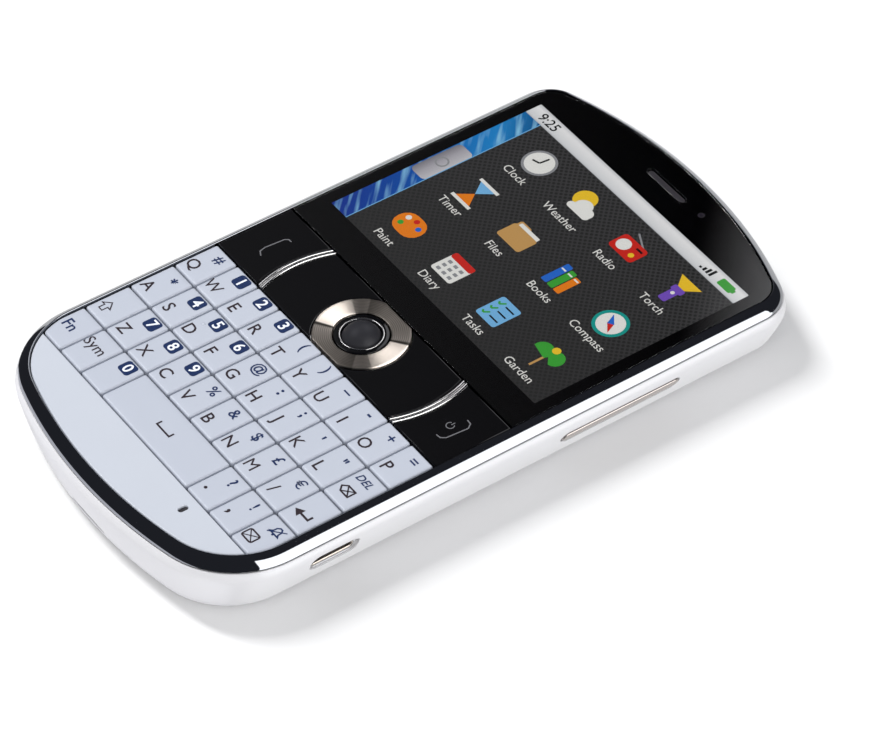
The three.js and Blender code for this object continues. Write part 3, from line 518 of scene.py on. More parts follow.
thumb_marks, given, result = new_group(
    "thumb marks",
    [("Lowest", "Float", 0.1), ("Highest", "Float", 0.2), ("Scale", "Float", 60.0)],
    [("Roughness", "Float", None)])
smear = noise(thumb_marks, Vector=object_place(thumb_marks), Scale=given["Scale"], Detail=3.0,
              Distortion=0.2)
gloss = map_range(thumb_marks, smear, 0.25, 0.75, interpolation_type="SMOOTHSTEP",
                  To_Min=given["Lowest"], To_Max=given["Highest"])
plug(thumb_marks, result["Roughness"], gloss)

mould_grain, given, result = new_group(
    "mould grain", [("Scale", "Float", 4000.0)], [("Height", "Float", None)])
fine = noise(mould_grain, Vector=object_place(mould_grain), Scale=given["Scale"], Detail=2.0)
coarse = noise(mould_grain, Vector=object_place(mould_grain),
               Scale=calculate(mould_grain, "MULTIPLY", given["Scale"], 0.21))
plug(mould_grain, result["Height"], calculate(mould_grain, "ADD", fine, coarse))
print("groups:", ", ".join(tree.name for tree in (tone_drift, thumb_marks, mould_grain)))


# %% Write the recipe for a finish
def place_group(tree, group, **values):
    node = link_node(tree, "ShaderNodeGroup", node_tree=group)
    return set_node(tree, node, **values).outputs[0]


def new_finish(name, colour, roughness, drift=(0.04, 90.0), marks=55.0, grain=(4000.0, 0.0), **plain):
    """A Principled material: drifting colour, thumb-marked gloss, moulded grain, and plain sockets.

    roughness is the lowest and highest value, and grain is the pattern's scale and its height in mm."""
    material, tree, shader = new_material(name)
    tone = place_group(tree, tone_drift, Colour=(*colour, 1), Amount=drift[0], Scale=drift[1])
    gloss = place_group(tree, thumb_marks, Lowest=roughness[0], Highest=roughness[1], Scale=marks)
    set_node(tree, shader, Base_Color=tone, Roughness=gloss, **plain)
    if grain[1]:
        relief = place_group(tree, mould_grain, Scale=grain[0])
        bump = link_node(tree, "ShaderNodeBump", Height=relief, Strength=1.0, Distance=grain[1] * MM)
        plug(tree, shader.inputs["Normal"], bump.outputs["Normal"])
    return material


# the renderer's denoiser draws contours into a noise in roughness that crosses 0.274, so the white
# shell and the pearl stay above it
white_shell = new_finish("white shell", (0.60, 0.60, 0.62), (0.30, 0.35), grain=(1800.0, 0.0004),
                         Coat_Weight=0.35, Coat_Roughness=0.16)
shell_inside = new_finish("white shell inside", (0.66, 0.67, 0.69), (0.45, 0.6), grain=(5000.0, 0.004))
chrome = new_finish("dark polished bezel", (0.35, 0.36, 0.385), (0.02, 0.05), drift=(0.02, 60.0),
                    marks=40.0, Metallic=1.0)
bright_trim = new_finish("bright trim", (0.80, 0.79, 0.78), (0.08, 0.16), Metallic=1.0)
# the chin's pearl is the keys' pearl painted lighter, as painted light
PEARLS = (("pearl keys", (0.445, 0.475, 0.545)), ("pearl chin", (0.50, 0.53, 0.59)))
pearl, pearl_chin_painted_lighter = [new_finish(name, colour, (0.29, 0.37), grain=(2600.0, 0.0006), Coat_Weight=0.6,
                                Coat_Roughness=0.12) for name, colour in PEARLS]
# near-black for gaps and holes: painted shade where the light does not reach
painted_gap_shade = new_finish("dark gasket", (0.03, 0.028, 0.032), (0.5, 0.65), grain=(5000.0, 0.003))
black_gloss = new_finish("black gloss", (0.002, 0.002, 0.0025), (0.03, 0.07), drift=(0.2, 70.0))
black_print = new_finish("black print", (0.0006, 0.0006, 0.0008), (0.35, 0.5), drift=(0.3, 200.0),
                         Specular_IOR_Level=0.0)
black_plastic = new_finish("black plastic", (0.02, 0.02, 0.022), (0.42, 0.58), grain=(3500.0, 0.006))
silicone = new_finish("silicone", (0.16, 0.20, 0.28), (0.5, 0.65), grain=(3000.0, 0.004))
socket_steel = new_finish("socket steel", (0.62, 0.56, 0.50), (0.25, 0.4), Metallic=1.0,
                          grain=(2500.0, 0.002))
gold_contact = new_finish("gold contact", (0.95, 0.68, 0.30), (0.18, 0.3), Metallic=1.0)
tinned_steel = new_finish("tinned steel", (0.72, 0.72, 0.71), (0.28, 0.42), Metallic=1.0,
                          grain=(900.0, 0.003))
dark_screw = new_finish("dark screw", (0.12, 0.12, 0.13), (0.25, 0.4), Metallic=1.0, grain=(6000.0, 0.002))
rocker_metal = new_finish("rocker metal", (0.42, 0.38, 0.36), (0.16, 0.26), Metallic=0.9,
                          grain=(3000.0, 0.0008))
ball_resin = new_finish("ball resin", (0.02, 0.02, 0.024), (0.42, 0.52), grain=(5200.0, 0.003),
                        Specular_IOR_Level=0.25)
legend_dark = new_finish("dark legend ink", (0.022, 0.014, 0.019), (0.4, 0.5), drift=(0.3, 900.0))
legend_blue = new_finish("blue legend ink", (0.006, 0.02, 0.08), (0.35, 0.45), drift=(0.3, 900.0))
legend_white = new_finish("white legend ink", (0.75, 0.78, 0.84), (0.4, 0.5), drift=(0.05, 900.0))
legend_grey = new_finish("grey legend ink", (0.13, 0.13, 0.14), (0.35, 0.45), drift=(0.1, 900.0))
print("finishes", len(bpy.data.materials))

# %% [markdown]
# ## The white shell
# The real shell is one moulding in glossy white. Its wall leans in towards the back, more at the top and
# bottom ends than along the sides, and it is pierced for the volume rocker, the charging socket, the
# headset socket and a thumbnail slot. Carving these out of a finished solid would leave long thin faces
# that shade badly. So the wall is drawn as a clean grid of quads, and only the patch round each opening
# is filled afresh, with the edge of the opening rolled inwards as a mould would leave it.

# %% Draw the wall of the shell
WIDEST_Z = 9.05
TAPERS = (3.5, 1.8, 3.15)
TAPER_BEND_SHARE = 1.32
BACK_EDGE_RADIUS = 0.9
SHOULDER_Z = 9.35
# at the side, the bottom and the top: the height where the shoulder starts, its inset, how it bends
SHOULDERS = ((7.8, 0.49, 1.5), (7.8, 0.5, 1.5), (6.2, 1.25, 1.1))
PLAIN_SHOULDER = (WIDEST_Z, 0.1, 2)


def wall_inset(z, plain=False):
    """How far the wall stands inside the widest outline at a height: side, bottom and top amounts.

    The shoulder falls away under the bezel as in the photograph, or plainly as the solid's does."""
    drawn = (max(WIDEST_Z - z, 0) / WIDEST_Z) ** TAPER_BEND_SHARE
    rise = min(z, BACK_EDGE_RADIUS)
    edge = BACK_EDGE_RADIUS - math.sqrt(BACK_EDGE_RADIUS**2 - (BACK_EDGE_RADIUS - rise) ** 2)
    insets = []
    for taper, shoulder in zip(TAPERS, SHOULDERS):
        start, inset, bend = PLAIN_SHOULDER if plain else shoulder
        share = max(z - start, 0) / ((seat_z if plain else SHOULDER_Z) - start)
        insets.append(taper * drawn + inset * share**bend + edge)
    return insets


def wall_ring(z, extra=0):
    """The wall's outline at a height, drawn in by an extra amount."""
    return body_outline(*[inset + extra for inset in wall_inset(z)])


SLOPE_STEP = 0.02


def wall_normals(z):
    """The outward normals of the wall's points at a height, from their neighbours along and above."""
    ring = wall_ring(z)
    along = np.roll(ring, -1, axis=0) - np.roll(ring, 1, axis=0)
    lean = (wall_ring(z + SLOPE_STEP) - wall_ring(z - SLOPE_STEP)) / (2 * SLOPE_STEP)
    normals = np.cross(np.column_stack((along, np.zeros(len(ring)))),
                       np.column_stack((lean, np.ones(len(ring)))))
    return normals / np.linalg.norm(normals, axis=1)[:, None]


def place_normal(place, across, z):
    """The same at one point of a place function, turned to face outwards."""
    step = SLOPE_STEP
    along = np.subtract(place(across + step, z), place(across - step, z))
    up = np.subtract(place(across, z + step), place(across, z - step))
    normal = np.cross(along, up)
    return normal / np.linalg.norm(normal) * (1 if normal @ np.array((*place(across, z)[:2], 0)) > 0 else -1)


print("wall leans in by", [round(value, 2) for value in wall_inset(seam_z)], "at the seam")

# %% Cut the openings into the wall
SEAM_GAP = 0.06
SEAM_ROLL = 0.12
WALL_ROWS = 15
WALL_DEPTH = 1.2
OPENING_ROLL = 0.16
CLEAR_BAND = 0.22
MOUTH_SLACK = 0.02
_, rocker_y, rocker_z = middle_of("volume_rocker")
_, usb_y, usb_z = middle_of("usb_socket")
headset_x, _, headset_z = middle_of("headset_socket")
wall_count = len(body_outline(0))
print("rocker", rocker_y, rocker_z, "charging socket", usb_y, usb_z, "headset", headset_x, headset_z)


def side_place(y, z, depth=0):
    """A point of the straight right side of the wall, some depth inside it."""
    return (half_width - wall_inset(z)[0] - depth, y, z)


def end_place(toward):
    """The same for the long arc of the top end (1) or the bottom end (-1), found by its x."""
    def place(x, z, depth=0):
        inset = wall_inset(z)[2 if toward > 0 else 1]
        radius = (TOP_END_RADIUS if toward > 0 else BOTTOM_END_RADIUS) - inset
        apex = (top_end_y if toward > 0 else bottom_end_y) - toward * inset
        return (x, apex - toward * (radius - math.sqrt(radius**2 - x**2)) - toward * depth, z)
    return place


def face_towards(form, first, aim_at):
    """Turn round every face from first on whose front looks away from where aim_at says."""
    for number in range(first, len(form.faces)):
        corners = form.faces[number]
        a, b, c = (np.array(form.points[i]) for i in corners[:3])
        front = np.cross(b - a, c - b)
        if front @ np.array(aim_at((a + b + c) / 3)) < 0:
            form.faces[number] = tuple(reversed(corners))


def inside(point, outline):
    """Whether a flat point lies in an outline, by counting crossings."""
    x, y = point
    x1, y1 = outline[:, 0], outline[:, 1]
    x2, y2 = np.roll(x1, -1), np.roll(y1, -1)
    crosses = (y1 > y) != (y2 > y)
    with np.errstate(divide="ignore", invalid="ignore"):
        meets = x < (x2 - x1) * (y - y1) / (y2 - y1) + x1
    return bool(np.count_nonzero(crosses & meets) % 2)


def pierce(form, grid, columns, rows, axis, place, opening, depth=WALL_DEPTH, chain=None):
    """Fill a block of the wall's grid afresh round an opening and roll its edge inwards.

    axis is the flat coordinate beside z (0 for x, 1 for y). chain names the points of an opening that
    runs out through the lower edge of the wall."""
    block = [[grid[row][column % wall_count] for column in columns] for row in rows]
    border = block[0] + [line[-1] for line in block[1:-1]] + block[-1][::-1]
    border += [line[0] for line in block[-2:0:-1]]
    rim = opening(OPENING_ROLL)
    clear = opening(OPENING_ROLL + CLEAR_BAND)
    kept = [index for line in block[1:-1] for index in line[1:-1]]
    kept = [i for i in kept if not inside((form.points[i][axis], form.points[i][2]), clear)]
    known = border + kept
    flat = [(form.points[i][axis], form.points[i][2]) for i in known] + [tuple(p) for p in rim]
    count, start = len(rim), len(known)
    lines = [(i, (i + 1) % len(border)) for i in range(len(border))]
    lines += [(start + i, start + (i + 1) % count) for i in range(count)]
    spots, _, triangles, came_from, _, _ = delaunay_2d_cdt([Vector(p) for p in flat], lines, [], 0, 1e-6)
    rim_ring = form.ring([place(*p) for p in rim])
    known += rim_ring
    form.normals.update((number, place_normal(place, *p)) for number, p in zip(rim_ring, rim))
    numbers = []
    for spot, sources in zip(spots, came_from):
        if sources:
            numbers.append(known[sources[0]])
        else:
            numbers.append(form.ring([place(*spot)])[0])
            form.normals[numbers[-1]] = place_normal(place, *spot)
    first = len(form.faces)
    for triangle in triangles:
        middle = sum((spots[i] for i in triangle), Vector((0, 0))) / 3
        if not inside(middle, rim):
            form.face(*[numbers[i] for i in triangle])
    face_towards(form, first, lambda p: (p[0], p[1], 0))
    rings = [rim_ring]
    for sink, wider in edge_round(OPENING_ROLL, 4)[1:]:
        rings.append(form.ring([place(*p, sink) for p in opening(wider - MOUTH_SLACK)]))
    rings.append(form.ring([place(*p, depth) for p in opening(-MOUTH_SLACK)]))
    if chain:
        rings = [[ring[i] for i in chain] for ring in rings]
    middle = np.array(place(*(opening(0).mean(axis=0)), depth / 2))
    first = len(form.faces)
    form.stack(rings, closed=not chain)
    face_towards(form, first, lambda p: middle - p)


ROCKER_GAP = 0.25
USB_MOUTH_WIDTH = 8.4
USB_MOUTH_HEIGHT = 3.3
HEADSET_HOLE_RADIUS = 2.3
NAIL_SLOT_WIDTH = 8.7
NAIL_SLOT_HEIGHT = 0.45
NAIL_SLOT_DEPTH = 0.9
ROCKER_LENGTH = 21.3
ROCKER_HEIGHT = 1.9
rocker_mouth = round_box(rocker_y, rocker_z, ROCKER_LENGTH + 2 * ROCKER_GAP, ROCKER_HEIGHT + 2 * ROCKER_GAP,
                         9, steps=8)
usb_mouth = round_box(usb_y, usb_z, USB_MOUTH_WIDTH, USB_MOUTH_HEIGHT, 9, steps=8)
headset_mouth = disc(headset_x, headset_z, HEADSET_HOLE_RADIUS, steps=40)


def nail_mouth(offset=0):
    """The thumbnail slot, open towards the seam: its lower corners lie on the seam itself."""
    half = NAIL_SLOT_WIDTH / 2 + offset
    top = seam_z + NAIL_SLOT_HEIGHT + offset
    corner = 0.25 + offset
    return np.vstack(([(half, seam_z)], arc(half - corner, top - corner, corner, 0, math.pi / 2, 5),
                      arc(corner - half, top - corner, corner, math.pi / 2, math.pi, 5), [(-half, seam_z)]))


shell = Form()
heights = list(np.linspace(seam_z, SHOULDER_Z - 0.12, WALL_ROWS)) + [SHOULDER_Z - 0.04, SHOULDER_Z]
grid = [shell.ring(wall_ring(z, extra), z) for z, extra in zip(heights, [0] * WALL_ROWS + [0.03, 0.12])]
for ring, z in zip(grid, heights[:WALL_ROWS]):
    shell.normals.update(zip(ring, wall_normals(z)))
side_start = wall_count - SIDE_STEPS
side_y = body_outline(0)[side_start:side_start + SIDE_STEPS, 1]


def columns_over(low, high):
    """Grid columns of the right side that reach past both ends of an opening."""
    first = side_start + int(np.searchsorted(side_y, low - 1)) - 1
    last = side_start + int(np.searchsorted(side_y, high + 1))
    return list(range(first, last + 1))


def end_columns(low_x, high_x, toward):
    """The same for an end arc, where x grows or falls along the outline."""
    ring = body_outline(0)
    end = [i for i in range(wall_count) if ring[i][1] * toward > 45 and low_x - 3 < ring[i][0] < high_x + 3]
    return list(range(min(end), max(end) + 1))


last_row = WALL_ROWS - 1
blocks = [
    (columns_over(rocker_y - 12, rocker_y + 12), last_row, 1, side_place, rocker_mouth),
    (columns_over(usb_y - 5, usb_y + 5), last_row, 1, side_place, usb_mouth),
    (end_columns(headset_x - 3, headset_x + 3, 1), last_row, 0, end_place(1), headset_mouth),
    (end_columns(-NAIL_SLOT_WIDTH / 2, NAIL_SLOT_WIDTH / 2, -1), 2, 0, end_place(-1), nail_mouth,
     NAIL_SLOT_DEPTH, list(range(14))),
]
taken = {column % wall_count: block[1] for block in blocks for column in block[0][:-1]}
for row in range(len(grid) - 1):
    for column in range(wall_count):
        if row >= taken.get(column, 0):
            after = (column + 1) % wall_count
            shell.face(grid[row][column], grid[row][after], grid[row + 1][after], grid[row + 1][column])
for columns, top_row, *rest in blocks:
    pierce(shell, grid, columns, range(top_row + 1), *rest)
print("wall of", len(shell.points), "points,", len(blocks), "openings")

# %% [markdown]
# The inside of the shell shows when the cover is off: the web, the battery bay, the screw bosses. The
# solid model has them already, so its mesh is copied into the same piece. Only the points that lie on
# the outer wall are drawn in by a tenth of a millimetre, so that the smooth wall hides them.

# %% Add the inside of the shell
DRAW_IN = 0.12
WALL_TOLERANCE = 0.07


def nearest_on(outline, point):
    """Distance from a flat point to an outline, and the unit inward direction there."""
    after = np.roll(outline, -1, axis=0)
    along = after - outline
    share = np.clip(((point - outline) * along).sum(1) / (along**2).sum(1), 0, 1)
    gap = np.linalg.norm(outline + along * share[:, None] - point, axis=1)
    best = int(gap.argmin())
    inward = np.array((-along[best][1], along[best][0]))
    return gap[best], inward / np.linalg.norm(inward)


def add_inside(form, node, finish, flat_back=False):
    """Copy a solid's mesh into a form, drawn in where it lies on the outer wall or the back."""
    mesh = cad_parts[node].data
    start = len(form.points)
    ring_at = {}
    moved = 0
    for vertex in mesh.vertices:
        point = np.array(vertex.co) / MM
        key = round(min(max(point[2], 0), seat_z), 3)
        point[2] = min(point[2], SHOULDER_Z - DRAW_IN)
        if key not in ring_at:
            plain = wall_inset(key, plain=True)
            ring_at[key] = body_outline(*plain), np.subtract(wall_inset(max(point[2], 0)), plain) + DRAW_IN
        plain_ring, (side, bottom, top) = ring_at[key]
        gap, inward = nearest_on(plain_ring, point[:2])
        if gap < WALL_TOLERANCE:
            point[:2] += inward * (abs(inward[0]) * side + abs(inward[1]) * (top if point[1] > 0 else bottom))
            moved += 1
        if flat_back and point[2] < WALL_TOLERANCE:
            point[2] += DRAW_IN
        form.points.append(tuple(point))
    form.finish = finish
    for polygon in mesh.polygons:
        form.face(*[start + i for i in polygon.vertices])
    return moved


drawn_in = add_inside(shell, "rear_housing", 1)
rear_shell = settle("rear_shell", shell, [white_shell, shell_inside], "phone_body",
                    ["rear_housing"], mend=False)
print("drawn in", drawn_in, "points of the inside; faces", len(rear_shell.data.polygons))

# %% [markdown]
# ## The battery cover
# The white back is a shallow tray that pulls straight off. Its wall goes on from the shell's wall below
# the seam, turns through a small radius and becomes the flat back with the camera hole and the sound
# slots. The smooth skin is drawn here, and the tray's inside with its tabs is copied from the solid.

# %% Draw the cover
CAMERA_Y = 44
CAMERA_HOLE_RADIUS = 3.5
SOUND_SLOTS = 5
SOUND_SLOT_PITCH = 2
SOUND_SLOT_WIDTH = 1
SOUND_SLOT_LENGTH = 7
SOUND_X = -13
SOUND_Y = 30
COVER_SKIN = 0.9
COVER_RIM = 1.2
HOLE_ROLL = 0.2

cover = Form()
cover_top = seam_z - SEAM_GAP
back_holes = [disc(0, CAMERA_Y, CAMERA_HOLE_RADIUS - 0.02, steps=64)]
for slot_number in range(SOUND_SLOTS):
    slot_x = SOUND_X + (slot_number - (SOUND_SLOTS - 1) / 2) * SOUND_SLOT_PITCH
    back_holes.append(round_box(slot_x, SOUND_Y, SOUND_SLOT_WIDTH - 0.04, SOUND_SLOT_LENGTH - 0.04, 9,
                                steps=8))
rings = []
for turn in np.linspace(math.pi / 2, 0.12, 9):
    z = BACK_EDGE_RADIUS * (1 - math.sin(turn))
    rings.append(cover.ring(wall_ring(z), z))
rings.append(cover.ring(wall_ring(cover_top - SEAM_ROLL), cover_top - SEAM_ROLL))
for inset, drop in edge_round(SEAM_ROLL, 3)[1:]:
    rings.append(cover.ring(wall_ring(cover_top - drop, inset), cover_top - drop))
rings.append(cover.ring(wall_ring(cover_top, COVER_RIM), cover_top))
cover.stack(rings)
hole_rings = []
for hole in back_holes:
    walls = [cover.ring(hole(wider), rise) for rise, wider in edge_round(HOLE_ROLL, 4)]
    walls.append(cover.ring(hole(0), COVER_SKIN))
    first = len(cover.faces)
    cover.stack(walls)
    middle = np.append(hole(0).mean(axis=0), COVER_SKIN / 2)
    face_towards(cover, first, lambda p, middle=middle: (middle - p) * (1, 1, 0) + (0, 0, -1e-4))
    hole_rings.append(walls[0])
cover.lid(rings[0], hole_rings, down=True)
add_inside(cover, "battery_cover", 1, flat_back=True)
back_cover = settle("back_cover", cover, [white_shell, shell_inside], "battery_cover",
                    ["battery_cover"], mend=False)
print("cover with", len(back_holes), "holes; faces", len(back_cover.data.polygons))

# %% [markdown]
# ## The polished bezel
# The bezel is one hoop of dark polished metal that carries most of the phone's character. It falls from
# a narrow lip beside the glass, ever more steeply, to a tight round at its outer foot. On the near side
# that slope mirrors a white panel as one broad bright line, and on the far side it turns away from the
# camera, so hardly a hair of it shows. It is swept: one cross-section, moved round the outline. The slope
# is drawn by its angle: small steps are laid end to end, each a little steeper than the one before.

# %% Sweep the bezel
BEZEL_WIDTH = 2.45
TOP_EXTRA_WIDTH = 0.5
BEZEL_LIP = 0.17
BEZEL_REBATE = 0.22
BEZEL_REBATE_HEIGHT = 0.27
BEZEL_STEP = 0.1
BEZEL_FOOT_WIDTH = 0.6
LIP_Z = bezel_top_z - 0.12
CREST_STEPS = 28
LIP_STEPS = 6
LIP_ANGLE = 34
EVEN_TURN = 20
FOOT_TURN = 30
board_top_z = box_of("front_bezel")[0][2]
crest_low_z = SHOULDER_Z + BEZEL_REBATE_HEIGHT
outer_insets = np.array(wall_inset(SHOULDER_Z)) + BEZEL_STEP
inner_insets = np.array((BEZEL_WIDTH, BEZEL_WIDTH, BEZEL_WIDTH + TOP_EXTRA_WIDTH))
share = (np.arange(CREST_STEPS) + 0.5) / CREST_STEPS
slope = np.radians(LIP_ANGLE + EVEN_TURN * share + FOOT_TURN * share**5)
fall_out = np.concatenate(([0], np.cumsum(np.cos(slope)))) / np.cos(slope).sum()
fall_down = np.concatenate(([0], np.cumsum(np.sin(slope)))) / np.sin(slope).sum()

# each point of the section: the insets at side, bottom and top, the height, and whether it is dark, as
# painted shade in the gap
section = [(outer_insets + BEZEL_REBATE, SHOULDER_Z, 1), (outer_insets + BEZEL_REBATE, crest_low_z - 0.02, 1),
           (outer_insets + 0.05, crest_low_z - 0.02, 0)]
for out, down in zip(fall_out[::-1], fall_down[::-1]):
    section.append((outer_insets + (inner_insets - BEZEL_LIP - outer_insets) * (1 - out),
                    LIP_Z - (LIP_Z - crest_low_z) * down, 0))
for turn in np.linspace(math.radians(90 - LIP_ANGLE / 2), 0, LIP_STEPS + 1):
    section.append((inner_insets - BEZEL_LIP * (1 - math.cos(turn)),
                    LIP_Z - BEZEL_LIP * (1 - math.sin(turn)), 0))
section += [(inner_insets, board_top_z, 1), (inner_insets - BEZEL_FOOT_WIDTH, board_top_z, 1),
            (inner_insets - BEZEL_FOOT_WIDTH, SHOULDER_Z, 1)]
hoop = Form()
hoop_rings = [hoop.ring(body_outline(*insets, side_steps=12), z) for insets, z, _ in section]
for lower, upper, (*_, dark) in zip(hoop_rings, hoop_rings[1:] + hoop_rings[:1], section):
    hoop.finish = dark
    hoop.band(lower, upper)
settle("bezel", hoop, [chrome, painted_gap_shade], "phone_body", ["front_bezel"], sharp=40)
print("bezel section of", len(section), "points, steepest", round(math.degrees(slope[-1])), "degrees")

# %% [markdown]
# ## The letter keys
# Thirty-seven keys fill the lower half, all of one height and parted by gaps of about a quarter of a
# millimetre. Each cap is a soft pillow: its edge rolls over in 0.3 mm and its top is a very shallow dome,
# which is what lets every key catch its own small gradient of light. The caps are drawn as rings inside
# rings. The two keys in the lower corners are cut along the bezel's curve, so every ring point that
# would leave the deck is pulled back towards the middle of its key.

# %% Place the keys
key_rows = [row.split() for row in (
    "q w e r t y u i o p", "a s d f g h j k l delete", "shift z x c v b n m slash enter",
    "fn sym zero space period comma message")]
DECK_GAP = 0.15
KEY_CORNER = 0.35
KEY_ROLL = 0.3
KEY_DROP = 0.1
KEY_PILLOW = 1.1
KEY_EDGE_STEPS = 10
KEY_FLAT_SHARE = 0.34
print("keys", sum(len(row) for row in key_rows))


def deck_outline(offset=0):
    """The inner edge of the bezel, less a small gap: keys, chin and glass all lie inside it."""
    return body_outline(*(inner_insets + DECK_GAP - offset))


def hold_on_deck(outline, middle, offset):
    """Pull points that lie off the deck straight back towards the middle of their key."""
    edge = deck_outline(offset)
    held = []
    for point in outline:
        low, high = 0.0, 1.0
        if not inside(point, edge):
            for _ in range(14):
                half = (low + high) / 2
                held_there = inside(middle + (point - middle) * half, edge)
                low, high = (half, high) if held_there else (low, half)
            point = middle + (point - middle) * low
        held.append(point)
    return np.array(held)


def key_outline(low, high, offset, cut):
    """A key's outline drawn in by a negative offset, with points along its straight edges too."""
    middle, half = (low + high)[:2] / 2, (high - low)[:2] / 2 + offset
    radius = max(KEY_CORNER + offset, 0.06)
    turns = []
    for number, side in enumerate(((1, 1), (-1, 1), (-1, -1), (1, -1))):
        x, y = middle + (half - radius) * side
        turns.append(arc(x, y, radius, number * math.pi / 2, (number + 1) * math.pi / 2, 4))
    outline = []
    for turn, after in zip(turns, turns[1:] + turns[:1]):
        outline += [*turn, *np.linspace(turn[-1], after[0], KEY_EDGE_STEPS + 1)[1:-1]]
    outline = np.array(outline)
    if cut:
        outline = hold_on_deck(outline, middle, offset)
    return outline


def key_drop(depth):
    """How far the cap lies below its top, at a distance in from its edge."""
    roll = KEY_ROLL - math.sqrt(max(KEY_ROLL**2 - max(KEY_ROLL - depth, 0) ** 2, 0))
    pillow = KEY_DROP * max(1 - depth / KEY_PILLOW, 0) ** 2
    return roll + pillow


def make_key(name):
    low, high = box_of(f"{name}_key")
    cut = name in ("fn", "message")
    width = min(high[0] - low[0], high[1] - low[1])
    form = Form()
    depths = [inset for inset, _ in edge_round(KEY_ROLL, 4)]
    depths += [*np.linspace(KEY_ROLL, KEY_PILLOW, 5)[1:], width * KEY_FLAT_SHARE]
    rings = [form.ring(key_outline(low, high, 0, cut), low[2])]
    for depth in depths:
        rings.append(form.ring(key_outline(low, high, -depth, cut), deck_z - key_drop(depth)))
    form.stack(rings)
    form.lid(rings[-1])
    form.lid(rings[0], down=True)
    return settle(f"{name}_cap", form, [pearl], f"{name}_key", [f"{name}_key"], sharp=50)


key_caps = {name: make_key(name) for row in key_rows for name in row}
print("caps", len(key_caps), "with", sum(len(cap.data.polygons) for cap in key_caps.values()), "faces")

# %% [markdown]
# ## The chin
# Below the keys one plain plate fills the curve of the bezel, in the pearl of the keys, its colour painted
# a little lighter to stand in for the brighter light on it. Its straight side is rolled like a key, and a
# short upright slot lets the microphone hear.

# %% Shape the chin
MICROPHONE_X = 14.8
MICROPHONE_WIDTH = 0.85
MICROPHONE_LENGTH = 1.6
MICROPHONE_DROP = 2.4
MICROPHONE_DEPTH = 0.4
chin_low, chin_high = box_of("chin_plate")
microphone_y = chin_high[1] - MICROPHONE_DROP


def cut_deck(offset, line_y, upper):
    """The part of the deck's outline above or below a line, closed along that line."""
    base = deck_outline()
    deck = deck_outline(offset)
    side = 1 if upper else -1
    beyond = (base[:, 1] - line_y) * side > 0.5
    first = next(i for i in range(len(base)) if beyond[i] and not beyond[i - 1])
    order = [(first + i) % len(base) for i in range(int(beyond.sum()))]
    edge_y = line_y - side * offset
    ends = []
    for sign in (side, -side):
        half = deck[deck[:, 0] * sign > 0]
        half = half[np.argsort(half[:, 1])]
        ends.append((np.interp(edge_y, half[:, 1], half[:, 0]), edge_y))
    return np.vstack(([ends[0]], deck[order], [ends[1]]))


def chin_outline(offset=0):
    return cut_deck(offset, chin_high[1], upper=False)


chin = Form()
microphone = round_box(MICROPHONE_X, microphone_y, MICROPHONE_WIDTH, MICROPHONE_LENGTH, 9, steps=6)
plate(chin, chin_outline, [microphone], chin_low[2], deck_z, 0.25)
# the slot's floor is painted near-black as painted shade inside the hole
chin.finish = 1
chin.lid(chin.ring(microphone(0.01), deck_z - MICROPHONE_DEPTH))
settle("chin", chin, [pearl_chin_painted_lighter, painted_gap_shade], "phone_body", ["chin_plate"], sharp=50)
print("chin", (chin_high - chin_low).round(2), "microphone at", round(microphone_y, 2))

# %% [markdown]
# ## The display window
# The window is one sheet of glass over the whole upper half. The picture looks as if it lay right under
# the surface, so the clear layer is thin and everything below it is black print, except where the lit
# display fills its rectangle. A slot lets the earpiece speak, and a dark eye beside it senses light.

# %% Cut the glass and the black print
PICTURE_WIDTH = 52.8
PICTURE_LENGTH = 39.6
PICTURE_Y = 25.102
EARPIECE_Y = 49.45
EARPIECE_LENGTH = 9
EARPIECE_WIDTH = 1.3
EYE_X = 8.3
EYE_Y = 49.8
EYE_RADIUS = 0.6
CLEAR_LAYER = 0.3
PRINT_GAP = 0.01
GLASS_ROLL = 0.05
PICTURE_SINK = 0.03

clear_glass, tree, shader = new_material("clear glass")
smudge = place_group(tree, thumb_marks, Lowest=0.0, Highest=0.004, Scale=30.0)
set_node(tree, shader, Transmission_Weight=1.0, IOR=1.48, Roughness=smudge)
eye_glass = new_finish("sensor eye", (0.035, 0.025, 0.045), (0.1, 0.2), drift=(0.4, 1500.0))


def window_outline(offset=0):
    return cut_deck(offset, glass_low[1], upper=True)


print_top = deck_z - CLEAR_LAYER - PRINT_GAP
picture_hole = round_box(0, PICTURE_Y, PICTURE_WIDTH, PICTURE_LENGTH, 0.15)
earpiece_slot = round_box(0, EARPIECE_Y, EARPIECE_LENGTH, EARPIECE_WIDTH, 9, steps=8)
pane = Form()
plate(pane, window_outline, [earpiece_slot], deck_z - CLEAR_LAYER, deck_z, GLASS_ROLL)
settle("window_pane", pane, [clear_glass], "phone_body", sharp=60)
ink = Form()
plate(ink, window_outline, [earpiece_slot, picture_hole], glass_low[2], print_top, 0.01, steps=1)
settle("window_print", ink, [black_print], "phone_body", ["display_window"])
eye = Form()
plate(eye, disc(EYE_X, EYE_Y, EYE_RADIUS, 32), [], print_top, print_top + PRINT_GAP * 0.8, 0.005, steps=1)
settle("sensor_eye", eye, [eye_glass], "phone_body")
print("glass", round(deck_z - CLEAR_LAYER, 2), "to", round(deck_z, 2), "print top", round(print_top, 3))

# %% [markdown]
# ## The lit picture
# The display shows a plain launcher of its own design: a pale bar with the time, a dark panel of small
# dots, a strip of blue, and twelve simple signs. Light comes from the picture itself, so its finishes
# give off light and reflect almost none. A shared effect lays the display's fine raster over them all.

